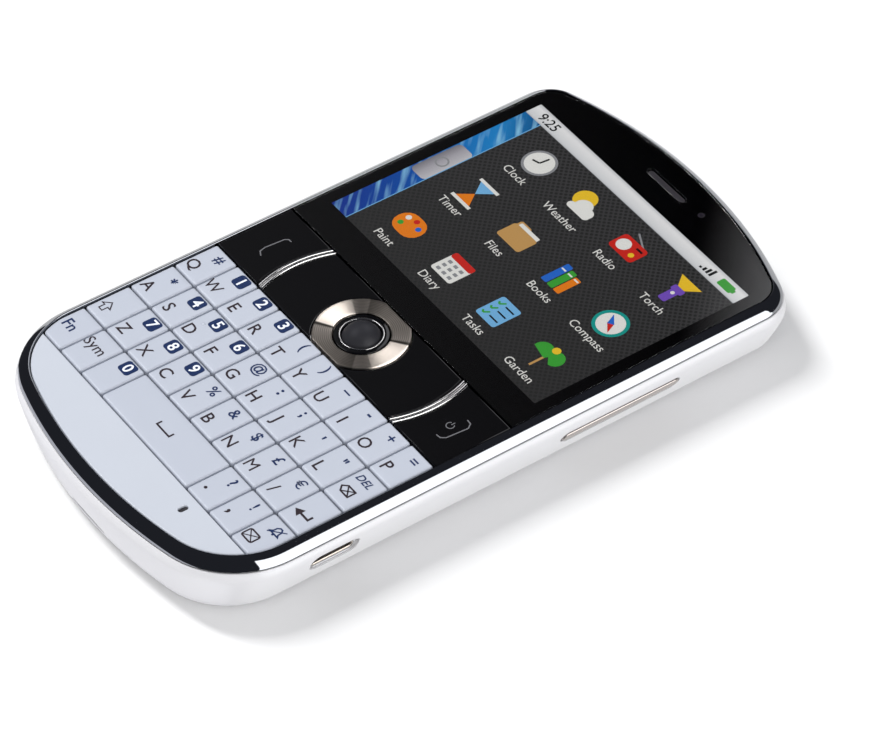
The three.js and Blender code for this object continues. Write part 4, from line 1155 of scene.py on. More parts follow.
# %% Build the raster and the lit finishes
def place_in_mm(tree):
    """Object coordinates in millimetres: x, y and z."""
    scaled = link_node(tree, VECTOR_MATH, operation="SCALE", Scale=1 / MM)
    plug(tree, scaled.inputs[0], object_place(tree))
    return link_node(tree, "ShaderNodeSeparateXYZ", Vector=scaled.outputs["Vector"]).outputs[:3]


def far_from(tree, x, y):
    """The length of a flat step."""
    squares = [calculate(tree, "POWER", value, 2.0) for value in (x, y)]
    return calculate(tree, "SQRT", calculate(tree, "ADD", *squares))


raster_effect, given, result = new_group(
    "display raster",
    [("Colour", "Color", (1, 1, 1, 1)), ("Pitch", "Float", 0.165), ("Depth", "Float", 0.06)],
    [("Colour", "Color", None)])
lines = []
for value in place_in_mm(raster_effect)[:2]:
    cells = calculate(raster_effect, "DIVIDE", value, given["Pitch"])
    lines.append(calculate(raster_effect, "PINGPONG", cells, 0.5))
dark = calculate(raster_effect, "MINIMUM", *lines)
twice = calculate(raster_effect, "MULTIPLY", given["Depth"], 2.0)
level = calculate(raster_effect, "SUBTRACT", calculate(raster_effect, "MULTIPLY_ADD", dark, twice, 1.0),
                  given["Depth"])
plug(raster_effect, result["Colour"],
     blend_colour(raster_effect, 1.0, given["Colour"], grey_of(raster_effect, level), "MULTIPLY"))


def screen_colour(red, green, blue):
    """A colour as a display names it, from 0 to 255, turned into light."""
    return tuple(((v / 255 + 0.055) / 1.055) ** 2.4 if v > 10 else v / 255 / 12.92
                 for v in (red, green, blue))


def new_light(name, colour):
    """A lit finish. colour is plain, or a function that builds the pattern in the material's tree."""
    material, tree, shader = new_material(name)
    source = colour(tree) if callable(colour) else (*screen_colour(*colour), 1)
    set_node(tree, shader, Emission_Color=place_group(tree, raster_effect, Colour=source),
             Emission_Strength=1.0, Base_Color=(0.004, 0.004, 0.004, 1), Roughness=0.6,
             Specular_IOR_Level=0.0)
    return material


def colour_stops(tree, value, stops):
    """A colour ramp: stops are (share, colour)."""
    node = link_node(tree, "ShaderNodeValToRGB", Fac=value)
    while len(node.color_ramp.elements) < len(stops):
        node.color_ramp.elements.new(0.5)
    for element, (position, colour) in zip(node.color_ramp.elements, stops):
        element.position = position
        element.color = (*colour, 1)
    return node.outputs["Color"]


def ramp(tree, value, low, high, stops):
    """Display colours along a value, from one limit to the other."""
    return colour_stops(tree, map_range(tree, value, low, high),
                        [(share, screen_colour(*colour)) for share, colour in stops])


DOT_PITCH = 1.05
DOT_RADIUS = 0.2


def dotted_panel(tree):
    """Charcoal with darker staggered dots, a little lighter towards the top."""
    x, y, _ = place_in_mm(tree)
    ground = ramp(tree, y, 5, 42, [(0, (51, 51, 51)), (1, (64, 64, 65))])
    nearest = None
    for shift in (0, 0.5):
        cells = [calculate(tree, "MULTIPLY_ADD", value, 1 / DOT_PITCH, shift) for value in (x, y)]
        away = far_from(tree, *[calculate(tree, "PINGPONG", cell, 0.5) for cell in cells])
        nearest = calculate(tree, "MINIMUM", nearest, away) if nearest else away
    share = map_range(tree, nearest, DOT_RADIUS / DOT_PITCH, DOT_RADIUS / DOT_PITCH + 0.12)
    return blend_colour(tree, share, screen_colour(43, 43, 44), ground)


def blue_strip(tree):
    """Azure with soft slanting streaks."""
    x, y, _ = place_in_mm(tree)
    slant = calculate(tree, "MULTIPLY_ADD", x, 0.9, y)
    base = ramp(tree, slant, -18, 26, [(0, (24, 52, 150)), (0.35, (16, 84, 176)), (0.7, (36, 140, 214)),
                                       (1, (9, 40, 92))])
    stretch = link_node(tree, "ShaderNodeCombineXYZ", X=calculate(tree, "MULTIPLY", slant, 0.55),
                        Y=calculate(tree, "MULTIPLY", x, 0.12))
    streak = noise(tree, Vector=stretch.outputs["Vector"], Scale=1.0, Detail=2.0)
    glow = map_range(tree, streak, 0.5, 0.75)
    return blend_colour(tree, glow, base, screen_colour(150, 214, 250))


def pale_bar(tree):
    return ramp(tree, place_in_mm(tree)[1], 41.9, 44.9,
                [(0, (196, 199, 204)), (0.12, (226, 228, 231)), (0.75, (248, 248, 249)),
                 (1, (214, 216, 220))])


def grey_tab(tree):
    return ramp(tree, place_in_mm(tree)[0], -26.4, -22.6,
                [(0, (120, 118, 126)), (0.5, (178, 176, 184)), (1, (206, 205, 210))])


ground_lights = [new_light(f"{name} light", pattern) for name, pattern in (
    ("dotted panel", dotted_panel), ("blue strip", blue_strip), ("pale bar", pale_bar),
    ("grey tab", grey_tab))]
SIGN_COLOURS = {
    "white": (244, 244, 240), "ink": (22, 22, 24), "grey": (150, 152, 156), "red": (214, 44, 36),
    "orange": (246, 134, 30), "yellow": (250, 206, 52), "green": (64, 170, 60), "teal": (30, 160, 150),
    "blue": (42, 110, 214), "sky": (124, 190, 240), "violet": (122, 84, 196), "tan": (206, 160, 96),
}
sign_names = list(SIGN_COLOURS)
sign_lights = [new_light(f"{name} sign light", colour) for name, colour in SIGN_COLOURS.items()]
print("lit finishes", len(ground_lights) + len(sign_lights))

# %% Lay out the ground of the picture
STRIP_WIDTH = 3.9
BAR_LENGTH = 3.0
picture_top = print_top - PICTURE_SINK
left_x, right_x = -PICTURE_WIDTH / 2, PICTURE_WIDTH / 2
low_y, high_y = PICTURE_Y - PICTURE_LENGTH / 2, PICTURE_Y + PICTURE_LENGTH / 2
panel_x = left_x + STRIP_WIDTH
bar_y = high_y - BAR_LENGTH


def flat(form, outline, z, finish=0):
    """A thin flat patch that faces up."""
    form.finish = finish
    form.lid(form.ring(outline, z))


def rectangle(x0, y0, x1, y1):
    return [(x0, y0), (x1, y0), (x1, y1), (x0, y1)]


LAYER = 0.003
TAB_X, TAB_Y = left_x + STRIP_WIDTH / 2 + 0.1, 24.5
TAB_LENGTH = 9.6
ground = Form()
slab_low = glass_low[2] + 0.01
whole = rectangle(left_x, low_y, right_x, high_y)
slab, rim = ground.ring(whole, slab_low), ground.ring(whole, picture_top)
ground.finish = 4
ground.band(slab, rim)
ground.lid(slab, down=True)
# each patch: its outline, how many layers it lies up, and its finish
for outline, level, finish in (
        (rectangle(panel_x, low_y, right_x, bar_y), 0, 0), (rectangle(left_x, low_y, panel_x, bar_y), 0, 1),
        (rectangle(left_x, bar_y, right_x, high_y), 0, 2),
        (round_box(TAB_X, TAB_Y, STRIP_WIDTH - 0.2, TAB_LENGTH, 0.9)(), 1, 3),
        (rectangle(panel_x - 0.12, low_y, panel_x + 0.04, bar_y), 2, 5),
        (disc(TAB_X, TAB_Y, 1.15)(), 2, 6), (disc(TAB_X, TAB_Y, 0.85)(), 3, 3)):
    flat(ground, outline, picture_top + level * LAYER, finish)
sky_light, grey_light = (sign_lights[sign_names.index(name)] for name in ("sky", "grey"))
settle("picture_ground", ground, [*ground_lights, black_print, sky_light, grey_light],
       "phone_body", mend=False)
print("picture", PICTURE_WIDTH, "by", PICTURE_LENGTH, "lit at", round(picture_top, 3))

# %% Turn lettering into flat meshes
def letters(text, height, weight=0.0, slant=0.0):
    """Flat points and faces of a word, its capitals of a given height, centred on its own box."""
    curve = bpy.data.curves.new("lettering", "FONT")
    curve.body, curve.size = text, height / CAPITAL_SHARE
    curve.offset, curve.shear = weight, slant
    curve.resolution_u = 3
    written = add_object("lettering", curve)
    bpy.context.view_layer.update()
    mesh = bpy.data.meshes.new_from_object(written.evaluated_get(bpy.context.evaluated_depsgraph_get()))
    points = np.array([vertex.co[:2] for vertex in mesh.vertices])
    faces = [tuple(polygon.vertices) for polygon in mesh.polygons]
    bpy.data.objects.remove(written)
    bpy.data.curves.remove(curve)
    bpy.data.meshes.remove(mesh)
    return points - (points.min(axis=0) + points.max(axis=0)) / 2, faces


CAPITAL_SHARE = 1.0
probe, _ = letters("H", 1.0)
CAPITAL_SHARE = float(np.ptp(probe[:, 1]))


def lay_letters(form, word, x, y, z, finish):
    """Put a flat word into a form; z is a height or a function of the flat points."""
    points, faces = word[0] + (x, y), word[1]
    start = form.ring(points, z(points) if callable(z) else z)[0]
    form.finish = finish
    for face in faces:
        form.face(*[start + i for i in face])


print("capitals are", round(CAPITAL_SHARE, 3), "of the letter size")

# %% [markdown]
# Each sign is built from a handful of flat shapes, laid one above the other like cut paper: discs,
# rounded boxes, strokes and simple polygons. Words under the signs name everyday tools.

# %% Draw the twelve signs
def dot(x, y, radius):
    return disc(x, y, radius, 28)()


def box(x, y, width, length, corner=0.5):
    return round_box(x, y, width, length, corner, steps=4)()


def line(x0, y0, x1, y1, width):
    start, end = np.array((x0, y0)), np.array((x1, y1))
    along = (end - start) / np.linalg.norm(end - start)
    across = np.array((-along[1], along[0])) * width / 2
    return [start - across, end - across, end + across, start + across]


# each sign: its shapes about its middle, from the lowest to the highest
SIGNS = {
    "Clock": [("grey", dot(0, 0, 2.9)), ("white", dot(0, 0, 2.45)), ("ink", line(0, 0, 0.2, 1.8, 0.35)),
              ("ink", line(0, 0, -1.3, -0.4, 0.35))],
    "Weather": [("yellow", dot(-0.9, 0.9, 2.0)), ("white", dot(0.3, -0.4, 1.6)),
                ("white", dot(1.9, -0.9, 1.1)), ("white", box(0.5, -1.5, 5.0, 1.4, 0.7))],
    "Radio": [("grey", line(1.6, 1.4, -1.6, 3.0, 0.3)), ("red", box(0, -0.3, 5.6, 3.8, 0.7)),
              ("white", dot(-1.1, -0.3, 1.25)), ("ink", line(0.8, 0.7, 2.2, 0.7, 0.4)),
              ("yellow", dot(1.5, -0.9, 0.5))],
    "Torch": [("yellow", [(-0.5, 0.6), (0.5, 0.6), (2.4, 3.0), (-2.4, 3.0)]),
              ("violet", box(0, 0.3, 2.4, 1.2, 0.3)), ("violet", box(0, -1.4, 1.6, 3.2, 0.4)),
              ("white", dot(0, -0.7, 0.35))],
    "Timer": [("sky", [(-1.9, 2.6), (0, 0), (1.9, 2.6)]), ("orange", [(-1.9, -2.6), (1.9, -2.6), (0, 0)]),
              ("white", line(-2.3, 2.7, 2.3, 2.7, 0.6)), ("white", line(-2.3, -2.7, 2.3, -2.7, 0.6))],
    "Files": [("tan", box(-1.2, 1.6, 2.6, 1.6, 0.4)), ("white", box(0.2, 0.5, 4.6, 3.2, 0.2)),
              ("tan", box(0, -0.5, 5.6, 3.8))],
    "Books": [shape for i, colour in enumerate(("blue", "green", "orange")) for shape in (
        (colour, box(i * 1.55 - 1.8, -0.1 - i * 0.2, 1.35, 5.2 - i * 0.4, 0.25)),
        ("white", line(i * 1.55 - 2.3, 1.2, i * 1.55 - 1.3, 1.2, 0.3)))],
    "Compass": [("teal", dot(0, 0, 2.9)), ("white", dot(0, 0, 2.3)),
                ("red", [(1.3, -1.6), (0.4, 0.4), (-0.55, -0.25)]),
                ("blue", [(-1.3, 1.6), (-0.4, -0.4), (0.55, 0.25)])],
    "Paint": [("orange", box(0, 0, 5.8, 4.6, 2.2)), ("white", dot(-1.5, 0.9, 0.5)),
              ("red", dot(0.1, 1.3, 0.5)), ("blue", dot(1.6, 0.5, 0.5)), ("green", dot(-1.4, -0.7, 0.5))],
    "Diary": [("white", box(0, -0.2, 5.0, 4.8)), ("red", box(0, 1.8, 5.0, 1.3, 0.4)), *[
        ("grey", box(i % 3 * 1.4 - 1.4, 0.4 - i // 3 * 1.1, 0.8, 0.6, 0.1)) for i in range(9)]],
    "Tasks": [("sky", box(0, 0, 4.6, 5.4)), *[shape for level in (1.5, 0, -1.5) for shape in (
        ("green", line(-1.8, level, -1.35, level - 0.4, 0.35)),
        ("green", line(-1.35, level - 0.4, -0.7, level + 0.5, 0.35)),
        ("ink", line(-0.2, level, 1.8, level, 0.3)))]],
    "Garden": [("tan", line(0, -2.8, 0, 0.4, 0.4)),
               ("green", arc(-1.3, 0.7, 1.7, -0.6, math.pi + 0.2, 12)),
               ("green", arc(1.3, 1.0, 1.6, 0.2 - math.pi / 2, math.pi, 12)),
               ("yellow", dot(0.1, 2.2, 0.7))],
}
signs = Form()


def lay_sign(shapes, x, y):
    """Lay flat shapes about a point, each a little above the one before."""
    for level, (colour, outline) in enumerate(shapes, 2):
        flat(signs, np.array(outline) + (x, y), picture_top + LAYER * level, sign_names.index(colour))


GRID_COLUMNS = 4
GRID_PITCH_X = 11.6
GRID_PITCH_Y = 12.2
SIGN_WORD_HEIGHT = 1.45
SIGN_WORD_DROP = 4.6
first_x = panel_x + (right_x - panel_x) / 2 - GRID_PITCH_X * (GRID_COLUMNS - 1) / 2
first_y = bar_y - 5.3
for number, (word, shapes) in enumerate(SIGNS.items()):
    x = first_x + GRID_PITCH_X * (number % GRID_COLUMNS)
    y = first_y - GRID_PITCH_Y * (number // GRID_COLUMNS)
    lay_sign(shapes, x, y)
    lay_letters(signs, letters(word, SIGN_WORD_HEIGHT), x, y - SIGN_WORD_DROP, picture_top + LAYER,
                sign_names.index("white"))
TIME_HEIGHT = 1.75
lay_letters(signs, letters("9:25", TIME_HEIGHT, weight=0.03), left_x + 4.2, bar_y + BAR_LENGTH / 2,
            picture_top + LAYER, sign_names.index("ink"))
signal = [("ink", rectangle(i * 0.75 - 9.4, 0.7, i * 0.75 - 8.9, 1.1 + i * 0.4)) for i in range(4)]
charge = [("green", box(-3.6, BAR_LENGTH / 2, 3.0, 1.6, 0.3)),
          ("green", box(-1.95, BAR_LENGTH / 2, 0.5, 0.8, 0.1))]
lay_sign(signal + charge, right_x, bar_y)
picture_signs = settle("picture_signs", signs, sign_lights, "phone_body", mend=False)
print("signs", len(SIGNS), "faces", len(picture_signs.data.polygons))

# %% [markdown]
# ## The navigation panel
# Between keys and window lies a black glossy band: four flat keys, two bright arcs, and a turned metal
# ring round the trackball. The key outlines are cut by circles about the ball, so they are worked out
# from those circles and not drawn freely. Each edge is rolled a little, since a perfectly sharp edge
# would catch no light and the keys would melt into one black shape.

# %% Cut the four navigation keys
ring_low, ring_high = box_of("nav_ring")
call_low, call_high = box_of("call_key")
nav_y = middle_of("nav_ring")[1]
nav_half = (call_high[1] - call_low[1]) / 2
RING_OUTER = 7.48
RING_INNER = 4.44
ARC_RADIUS = 18.4
ARC_WIDTH = 1.2
NAV_GAP = 0.15
NAV_ROLL = 0.16
NAV_ARC_STEPS = 24


def circle_edge(radius, half, side, falling):
    """Points where a circle about the ball crosses the panel, from its low to its high edge or back."""
    reach = math.asin(min(half / radius, 1))
    turn = np.linspace(-reach, reach, NAV_ARC_STEPS) * (-1 if falling else 1)
    return np.column_stack((side * radius * np.cos(turn), nav_y + radius * np.sin(turn)))


def nav_outline(side, outer):
    """The outline of an outer or inner key; side is 1 on the right and -1 on the left."""
    def outline(offset=0):
        half = nav_half + offset
        if outer:
            edge_x = side * (abs(call_low[0]) + offset)
            far = np.array([(edge_x, nav_y - half), (edge_x, nav_y + half)])
            near = circle_edge(ARC_RADIUS + ARC_WIDTH / 2 + NAV_GAP - offset, half, side, True)
        else:
            far = circle_edge(ARC_RADIUS - ARC_WIDTH / 2 - NAV_GAP + offset, half, side, False)
            near = circle_edge(RING_OUTER + NAV_GAP - offset, half, side, True)
        points = np.vstack((far, near))
        return points if side > 0 else points[::-1]
    return outline


for name, side, outer in (("call", -1, True), ("menu", -1, False), ("back", 1, False), ("end", 1, True)):
    low, high = box_of(f"{name}_key")
    form = Form()
    plate(form, nav_outline(side, outer), [], low[2], high[2], NAV_ROLL)
    settle(f"{name}_cap", form, [black_gloss], f"{name}_key", [f"{name}_key"], sharp=50)
print("navigation keys", round(2 * nav_half, 2), "long")

# %% Bend the two bright arcs
TRIM_TOP = 9.2
TRIM_CORNER = 0.3
POST_HOLE_RADIUS = 1.75
POST_SHARE = 0.5
ARC_MARGIN = 0.02
RIDGE_RADIUS = 0.25
RIDGE_STEPS = 8
trim_low, trim_high = box_of("nav_trim")
arcs = Form()
post_x = [(ARC_RADIUS + abs(call_low[0])) * POST_SHARE, (ARC_RADIUS + RING_OUTER) * POST_SHARE]
post_holes = [disc(side * x, nav_y, POST_HOLE_RADIUS) for x in post_x for side in (-1, 1)]
trim_plate = round_box(0, nav_y, *(trim_high - trim_low)[:2], TRIM_CORNER)
plate(arcs, trim_plate, [disc(0, nav_y, RING_INNER), *post_holes], trim_low[2], TRIM_TOP, 0.05)
arc_foot_z, arc_side_z = TRIM_TOP - 0.1, trim_high[2] - RIDGE_RADIUS
arc_section = [(-ARC_WIDTH / 2, arc_foot_z), (-ARC_WIDTH / 2, arc_side_z)]
ridge_x = ARC_WIDTH / 2 - ARC_MARGIN - RIDGE_RADIUS
for middle in (-ridge_x, ridge_x):
    for turn in np.linspace(math.pi, 0, RIDGE_STEPS + 1):
        arc_section.append((middle + RIDGE_RADIUS * math.cos(turn),
                            arc_side_z + RIDGE_RADIUS * math.sin(turn)))
arc_section += [(ARC_WIDTH / 2, arc_side_z), (ARC_WIDTH / 2, arc_foot_z)]
for side in (-1, 1):
    rings = []
    for share in np.linspace(-1, 1, 41):
        points = []
        for across, z in arc_section:
            radius = ARC_RADIUS + across
            turn = share * math.asin((nav_half - ARC_MARGIN) / radius)
            points.append((side * radius * math.cos(turn), nav_y + radius * math.sin(turn), z))
        rings.append(arcs.ring(points))
    arcs.stack(rings)
    for lower, upper in zip(rings, rings[1:]):
        arcs.face(lower[-1], lower[0], upper[0], upper[-1])
    for ring in (rings[0], rings[-1]):
        arcs.face(*ring)
settle("trim_arcs", arcs, [bright_trim], "phone_body", ["nav_trim"], sharp=50)
print("arcs on radius", ARC_RADIUS, "post holes at", [round(float(x), 2) for x in post_x])

# %% [markdown]
# The ring is turned on a lathe, so it carries fine circles that stretch every highlight into a fan
# towards the middle. The shader does this with anisotropy, whose direction comes from a Tangent node
# that runs round the ring's own axis, and a few coarser grooves are added as bump. Its colour carries
# painted reflections as well: two bright wedges face each other, the two sectors between are painted
# darker with painted shade in rings of grooves, and a narrow dark streak parts them. A colour ramp over
# the angle, which repeats after half a turn, gives the tones of these painted reflections.

# %% Turn the ring
RING_FOOT = 9.2
RING_DISH = 0.12
RING_EDGE = 0.15
RING_TURNS = 192

turned_metal = new_finish("turned champagne ring", (0.98, 0.88, 0.78), (0.3, 0.36), drift=(0.05, 300.0),
                          Metallic=1.0, Anisotropic=0.93, Anisotropic_Rotation=0.25)
tree = turned_metal.node_tree
shader = tree.nodes["Principled BSDF"]
flat_place = calculate(tree, "MULTIPLY", object_place(tree), (1 / MM, 1 / MM, 0), kind=VECTOR_MATH)
from_axis = calculate(tree, "LENGTH", flat_place, kind=VECTOR_MATH, result=1)
cuts = noise(tree, noise_dimensions="1D", W=from_axis, Scale=9.0, Detail=3.0)
groove = link_node(tree, "ShaderNodeBump", Height=cuts, Strength=1.0, Distance=0.008 * MM)
around = link_node(tree, "ShaderNodeTangent", direction_type="RADIAL", axis="Z")
set_node(tree, shader, Normal=groove.outputs["Normal"], Tangent=around.outputs["Tangent"])
GROOVE_PITCH = 0.3
GROOVE_SHADE_DEPTH = 0.5
# each stop of the painted reflections: its angle in degrees, its painted brightness, and whether painted
# groove shade lies over it
PAINTED_REFLECTION_STOPS = ((0, 0.95, 0), (33, 0.95, 0), (35, 0.05, 0), (38, 0.05, 0), (41, 0.42, 1), (62, 0.32, 1),
           (100, 0.2, 1), (134, 0.27, 1), (136, 0.62, 1), (156, 0.68, 1), (158, 0.95, 0), (180, 0.95, 0))
x, y, _ = place_in_mm(tree)
angle = calculate(tree, "MULTIPLY", calculate(tree, "ARCTAN2", y, x), 1 / math.pi)
half_turn = calculate(tree, "WRAP", angle, 1.0, 0.0)
tone, painted_groove_share = (colour_stops(tree, half_turn, [(stop[0] / 180, (stop[pick],) * 3) for stop in PAINTED_REFLECTION_STOPS])
                 for pick in (1, 2))
# painted groove shade: darker rings at the groove pitch, where the stops ask for it
pitches = calculate(tree, "MULTIPLY", from_axis, 1 / GROOVE_PITCH)
groove_shade_stripes = calculate(tree, "MULTIPLY", calculate(tree, "PINGPONG", pitches, 0.5), 2 * GROOVE_SHADE_DEPTH)
painted_groove_shade = calculate(tree, "MULTIPLY_ADD", calculate(tree, "MULTIPLY", painted_groove_share, groove_shade_stripes), -1.0, 1.0)
# the painted reflections and painted groove shade, multiplied into the metal's colour
painted_sector_light = grey_of(tree, calculate(tree, "MULTIPLY", tone, painted_groove_shade))
plain_metal = shader.inputs["Base Color"].links[0].from_socket
plug(tree, shader.inputs["Base Color"], blend_colour(tree, 1.0, plain_metal, painted_sector_light, "MULTIPLY"))

nav_ring = Form()
ring_top = ring_high[2]
turns = np.linspace(0, 2 * math.pi, RING_TURNS, endpoint=False)
ring_reach = np.minimum(RING_OUTER, (ring_high[1] - ring_low[1]) / 2 / np.maximum(np.abs(np.sin(turns)), 0.1))


def ring_height(radius):
    share = np.clip((RING_OUTER - RING_EDGE - radius) / (RING_OUTER - RING_INNER - 2 * RING_EDGE), 0, 1)
    return ring_top - RING_DISH * share


def ring_loop(radius, z):
    return nav_ring.ring(polar(0, nav_y, radius, turns), z)


rings = [ring_loop(ring_reach, RING_FOOT), ring_loop(ring_reach, ring_height(ring_reach) - RING_EDGE)]
for inset, drop in edge_round(RING_EDGE, 4)[1:]:
    radius = ring_reach - inset
    rings.append(ring_loop(radius, ring_height(radius) - drop))
for share in np.linspace(0, 1, 8)[1:]:
    radius = (ring_reach - RING_EDGE) * (1 - share) + (RING_INNER + RING_EDGE) * share
    rings.append(ring_loop(radius, ring_height(radius)))
inner_z = float(ring_top - RING_DISH)
for drop, wider in edge_round(RING_EDGE, 4)[1:]:
    rings.append(ring_loop(np.full(RING_TURNS, RING_INNER + wider), inner_z - drop))
rings.append(ring_loop(np.full(RING_TURNS, RING_INNER), RING_FOOT))
nav_ring.stack(rings)
nav_ring.band(rings[-1], rings[0])
turned_ring = settle("turned_ring", nav_ring, [turned_metal], "phone_body", ["nav_ring"],
                     sharp=50, origin=(0, nav_y, ring_top))
print("ring", RING_INNER, "to", RING_OUTER, "mm with", RING_TURNS, "turns")

# %% [markdown]
# A turned ring shows a lamp as two bright wedges that face each other. The photograph has a bright pair
# and, across it, a faint one. Two lamps that shine on the ring alone draw them, so no other part of the
# phone has to mirror them.

# %% Light the ring alone
ring_only = bpy.data.collections.new("ring_only")
ring_only.objects.link(turned_ring)
for name, aim, width, height, power in (("bright_wedge_lamp", heading(92, 61), 0.6, 0.6, 6.0),
                                        ("faint_wedge_lamp", heading(-166, 53), 0.5, 1.1, 2.5)):
    wedge_lamp = hang_lamp(name, aim, width, height, power)
    wedge_lamp.visible_glossy = True
    wedge_lamp.light_linking.receiver_collection = ring_only

# %% [markdown]
# The ball sits in a black frame that ends in a thin bright lip. Both are turned shapes: a profile is
# spun about the ball's axis, and the frame's inside is the round seat that the ball rolls in.

# %% Spin the ball and its frame
BALL_GAP = 0.15
FRAME_RADIUS = 4.2
LIP_INNER = 3.2
LIP_WIDTH = 0.25
MOUTH_Z = 10.95
SPIN_STEPS = 72
frame_low, frame_high = box_of("trackball_frame")
ball_low, ball_high = box_of("trackball")
ball_radius = (ball_high[0] - ball_low[0]) / 2
ball_z = middle_of("trackball")[2]
frame_top = frame_high[2] - RING_DISH


def spin(form, profile, finishes):
    """Spin a closed profile of (radius, z) about the ball's upright axis."""
    rings = [form.ring(disc(0, nav_y, radius, SPIN_STEPS)(), z) for radius, z in profile]
    for lower, upper, finish in zip(rings, rings[1:] + rings[:1], finishes):
        form.finish = finish
        form.band(lower, upper)


profile = [(FRAME_RADIUS, frame_low[2]), (FRAME_RADIUS, frame_top - 0.1),
           (FRAME_RADIUS - 0.03, frame_top - 0.03), (FRAME_RADIUS - 0.1, frame_top),
           (LIP_INNER + LIP_WIDTH + 0.02, frame_top - 0.02)]
finishes = [0] * len(profile)
for turn in np.linspace(0, math.pi, 9):
    profile.append((LIP_INNER + LIP_WIDTH / 2 * (1 + math.cos(turn)),
                    frame_high[2] - 0.06 * (1 - math.sin(turn))))
    finishes.append(1)
seat_radius = ball_radius + BALL_GAP
for turn in np.linspace(math.asin((MOUTH_Z - ball_z) / seat_radius),
                        math.asin((frame_low[2] - ball_z) / seat_radius), 10):
    profile.append((seat_radius * math.cos(turn), ball_z + seat_radius * math.sin(turn)))
    finishes.append(0)
ball_frame = Form()
spin(ball_frame, profile, finishes)
settle("ball_frame", ball_frame, [black_gloss, bright_trim], "trackball_frame",
       ["trackball_frame"], sharp=45)

PARTING_WIDTH = 0.05
PARTING_DEPTH = 0.012
ball = Form()
upper_turns = np.linspace(PARTING_WIDTH, math.pi / 2, 24)[:-1]
loops = []
for turn in (*-upper_turns[::-1], 0, *upper_turns):
    radius = ball_radius - (PARTING_DEPTH if turn == 0 else 0)
    loops.append(ball.ring(disc(0, nav_y, radius * math.cos(turn), SPIN_STEPS)(),
                           ball_z + radius * math.sin(turn)))
ball.stack(loops)
ball.fan(loops[-1], (0, nav_y, ball_z + ball_radius))
ball.fan(loops[0], (0, nav_y, ball_z - ball_radius))
settle("track_ball", ball, [ball_resin], "trackball", ["trackball"], sharp=60,
       origin=(0, nav_y, ball_z))
print("ball radius", round(ball_radius, 2), "stands", round(ball_high[2] - bezel_top_z, 2), "over the bezel")

# %% [markdown]
# ## The side pieces
# The volume rocker is one slim bar of satin metal with rounded ends that bulges a little, so light
# slides along it. The charging socket is a folded steel shell with a tongue of contacts. The shapes are
# small, but they are what the eye uses to judge how big the phone is.

# %% Shape the rocker
ROCKER_PROUD = 0.15
ROCKER_FLANGE_LENGTH = 22.6
ROCKER_FLANGE_HEIGHT = 3.2
ROCKER_FLANGE_THICKNESS = 0.7
ROCKER_NOSE = 0.5
ROCKER_NOSE_WIDTH = 1.2
ROCKER_ROLL = 0.32
rocker = Form()
flange_x = box_of("volume_rocker")[0][0] + ROCKER_NOSE
face_x = half_width - wall_inset(rocker_z)[0] + ROCKER_PROUD
bar_shape = round_box(rocker_y, rocker_z, ROCKER_LENGTH, ROCKER_HEIGHT, 9, steps=10)


def standing_ring(form, outline, x):
    """A ring drawn in (y, z) that stands at a place along x."""
    return form.ring(np.column_stack((np.broadcast_to(x, len(outline)), outline)))


def follow_wall(outline, drop):
    return [half_width - wall_inset(z)[0] + ROCKER_PROUD - drop for _, z in outline]


rings = [standing_ring(rocker, bar_shape(0), flange_x + ROCKER_FLANGE_THICKNESS * 0.5)]
for inset, drop in edge_round(ROCKER_ROLL, 6):
    outline = bar_shape(-inset)
    rings.append(standing_ring(rocker, outline, follow_wall(outline, drop)))
outline = bar_shape(-ROCKER_HEIGHT / 2 + 0.12)
rings.append(standing_ring(rocker, outline, follow_wall(outline, 0)))
rocker.stack(rings)
rocker.face(*rings[-1])
rocker.face(*rings[0])


def small_block(form, middle, half, chamfer=0.08):
    """A box with chamfered edges about a middle point, for small inner blocks."""
    x, y, z = middle
    shape = round_box(x, y, 2 * half[0], 2 * half[1], chamfer * 2, steps=3)
    plate(form, shape, [], z - half[2], z + half[2], chamfer, low_edge=chamfer, steps=2)


thick = ROCKER_FLANGE_THICKNESS
small_block(rocker, (flange_x + thick / 2, rocker_y, rocker_z),
            (thick / 2, ROCKER_FLANGE_LENGTH / 2, ROCKER_FLANGE_HEIGHT / 2))
small_block(rocker, (flange_x - ROCKER_NOSE / 2 + thick / 4, rocker_y, rocker_z),
            (ROCKER_NOSE / 2 + thick / 4, ROCKER_NOSE_WIDTH / 2, ROCKER_FLANGE_HEIGHT / 2 - 0.2))
settle("rocker_bar", rocker, [rocker_metal], "volume_rocker", ["volume_rocker"],
       sharp=40)
print("rocker face stands at", round(face_x, 2))

# %% Fold the charging socket
USB_WIDTH = 7.5
USB_HEIGHT = 2.6
USB_WALL = 0.3
USB_CORNER = 0.7
TONGUE_WIDTH = 4.6
TONGUE_THICKNESS = 0.6
TONGUE_CONTACTS = 5
usb_shape = round_box(usb_y, usb_z, USB_WIDTH, USB_HEIGHT, USB_CORNER, steps=5)
usb_back, usb_front = (corner[0] for corner in box_of("usb_socket"))
USB_LIP = 0.08
usb = Form()
rings = [standing_ring(usb, usb_shape(offset), x) for offset, x in (
    (0, usb_back), (0, usb_front - USB_LIP), (-USB_LIP, usb_front), (USB_LIP - USB_WALL, usb_front),
    (-USB_WALL, usb_front - USB_LIP), (-USB_WALL, usb_back + USB_WALL))]
usb.stack(rings)
usb.face(*rings[0])
usb.face(*rings[-1])
settle("usb_shell", usb, [socket_steel], "phone_body", ["usb_socket"], sharp=35)
tongue = Form()
tongue_back, tongue_front = usb_back + USB_WALL - 0.05, usb_front - 0.9
small_block(tongue, ((tongue_back + tongue_front) / 2, usb_y, usb_z),
            ((tongue_front - tongue_back) / 2, TONGUE_WIDTH / 2, TONGUE_THICKNESS / 2), 0.06)
tongue.finish = 1
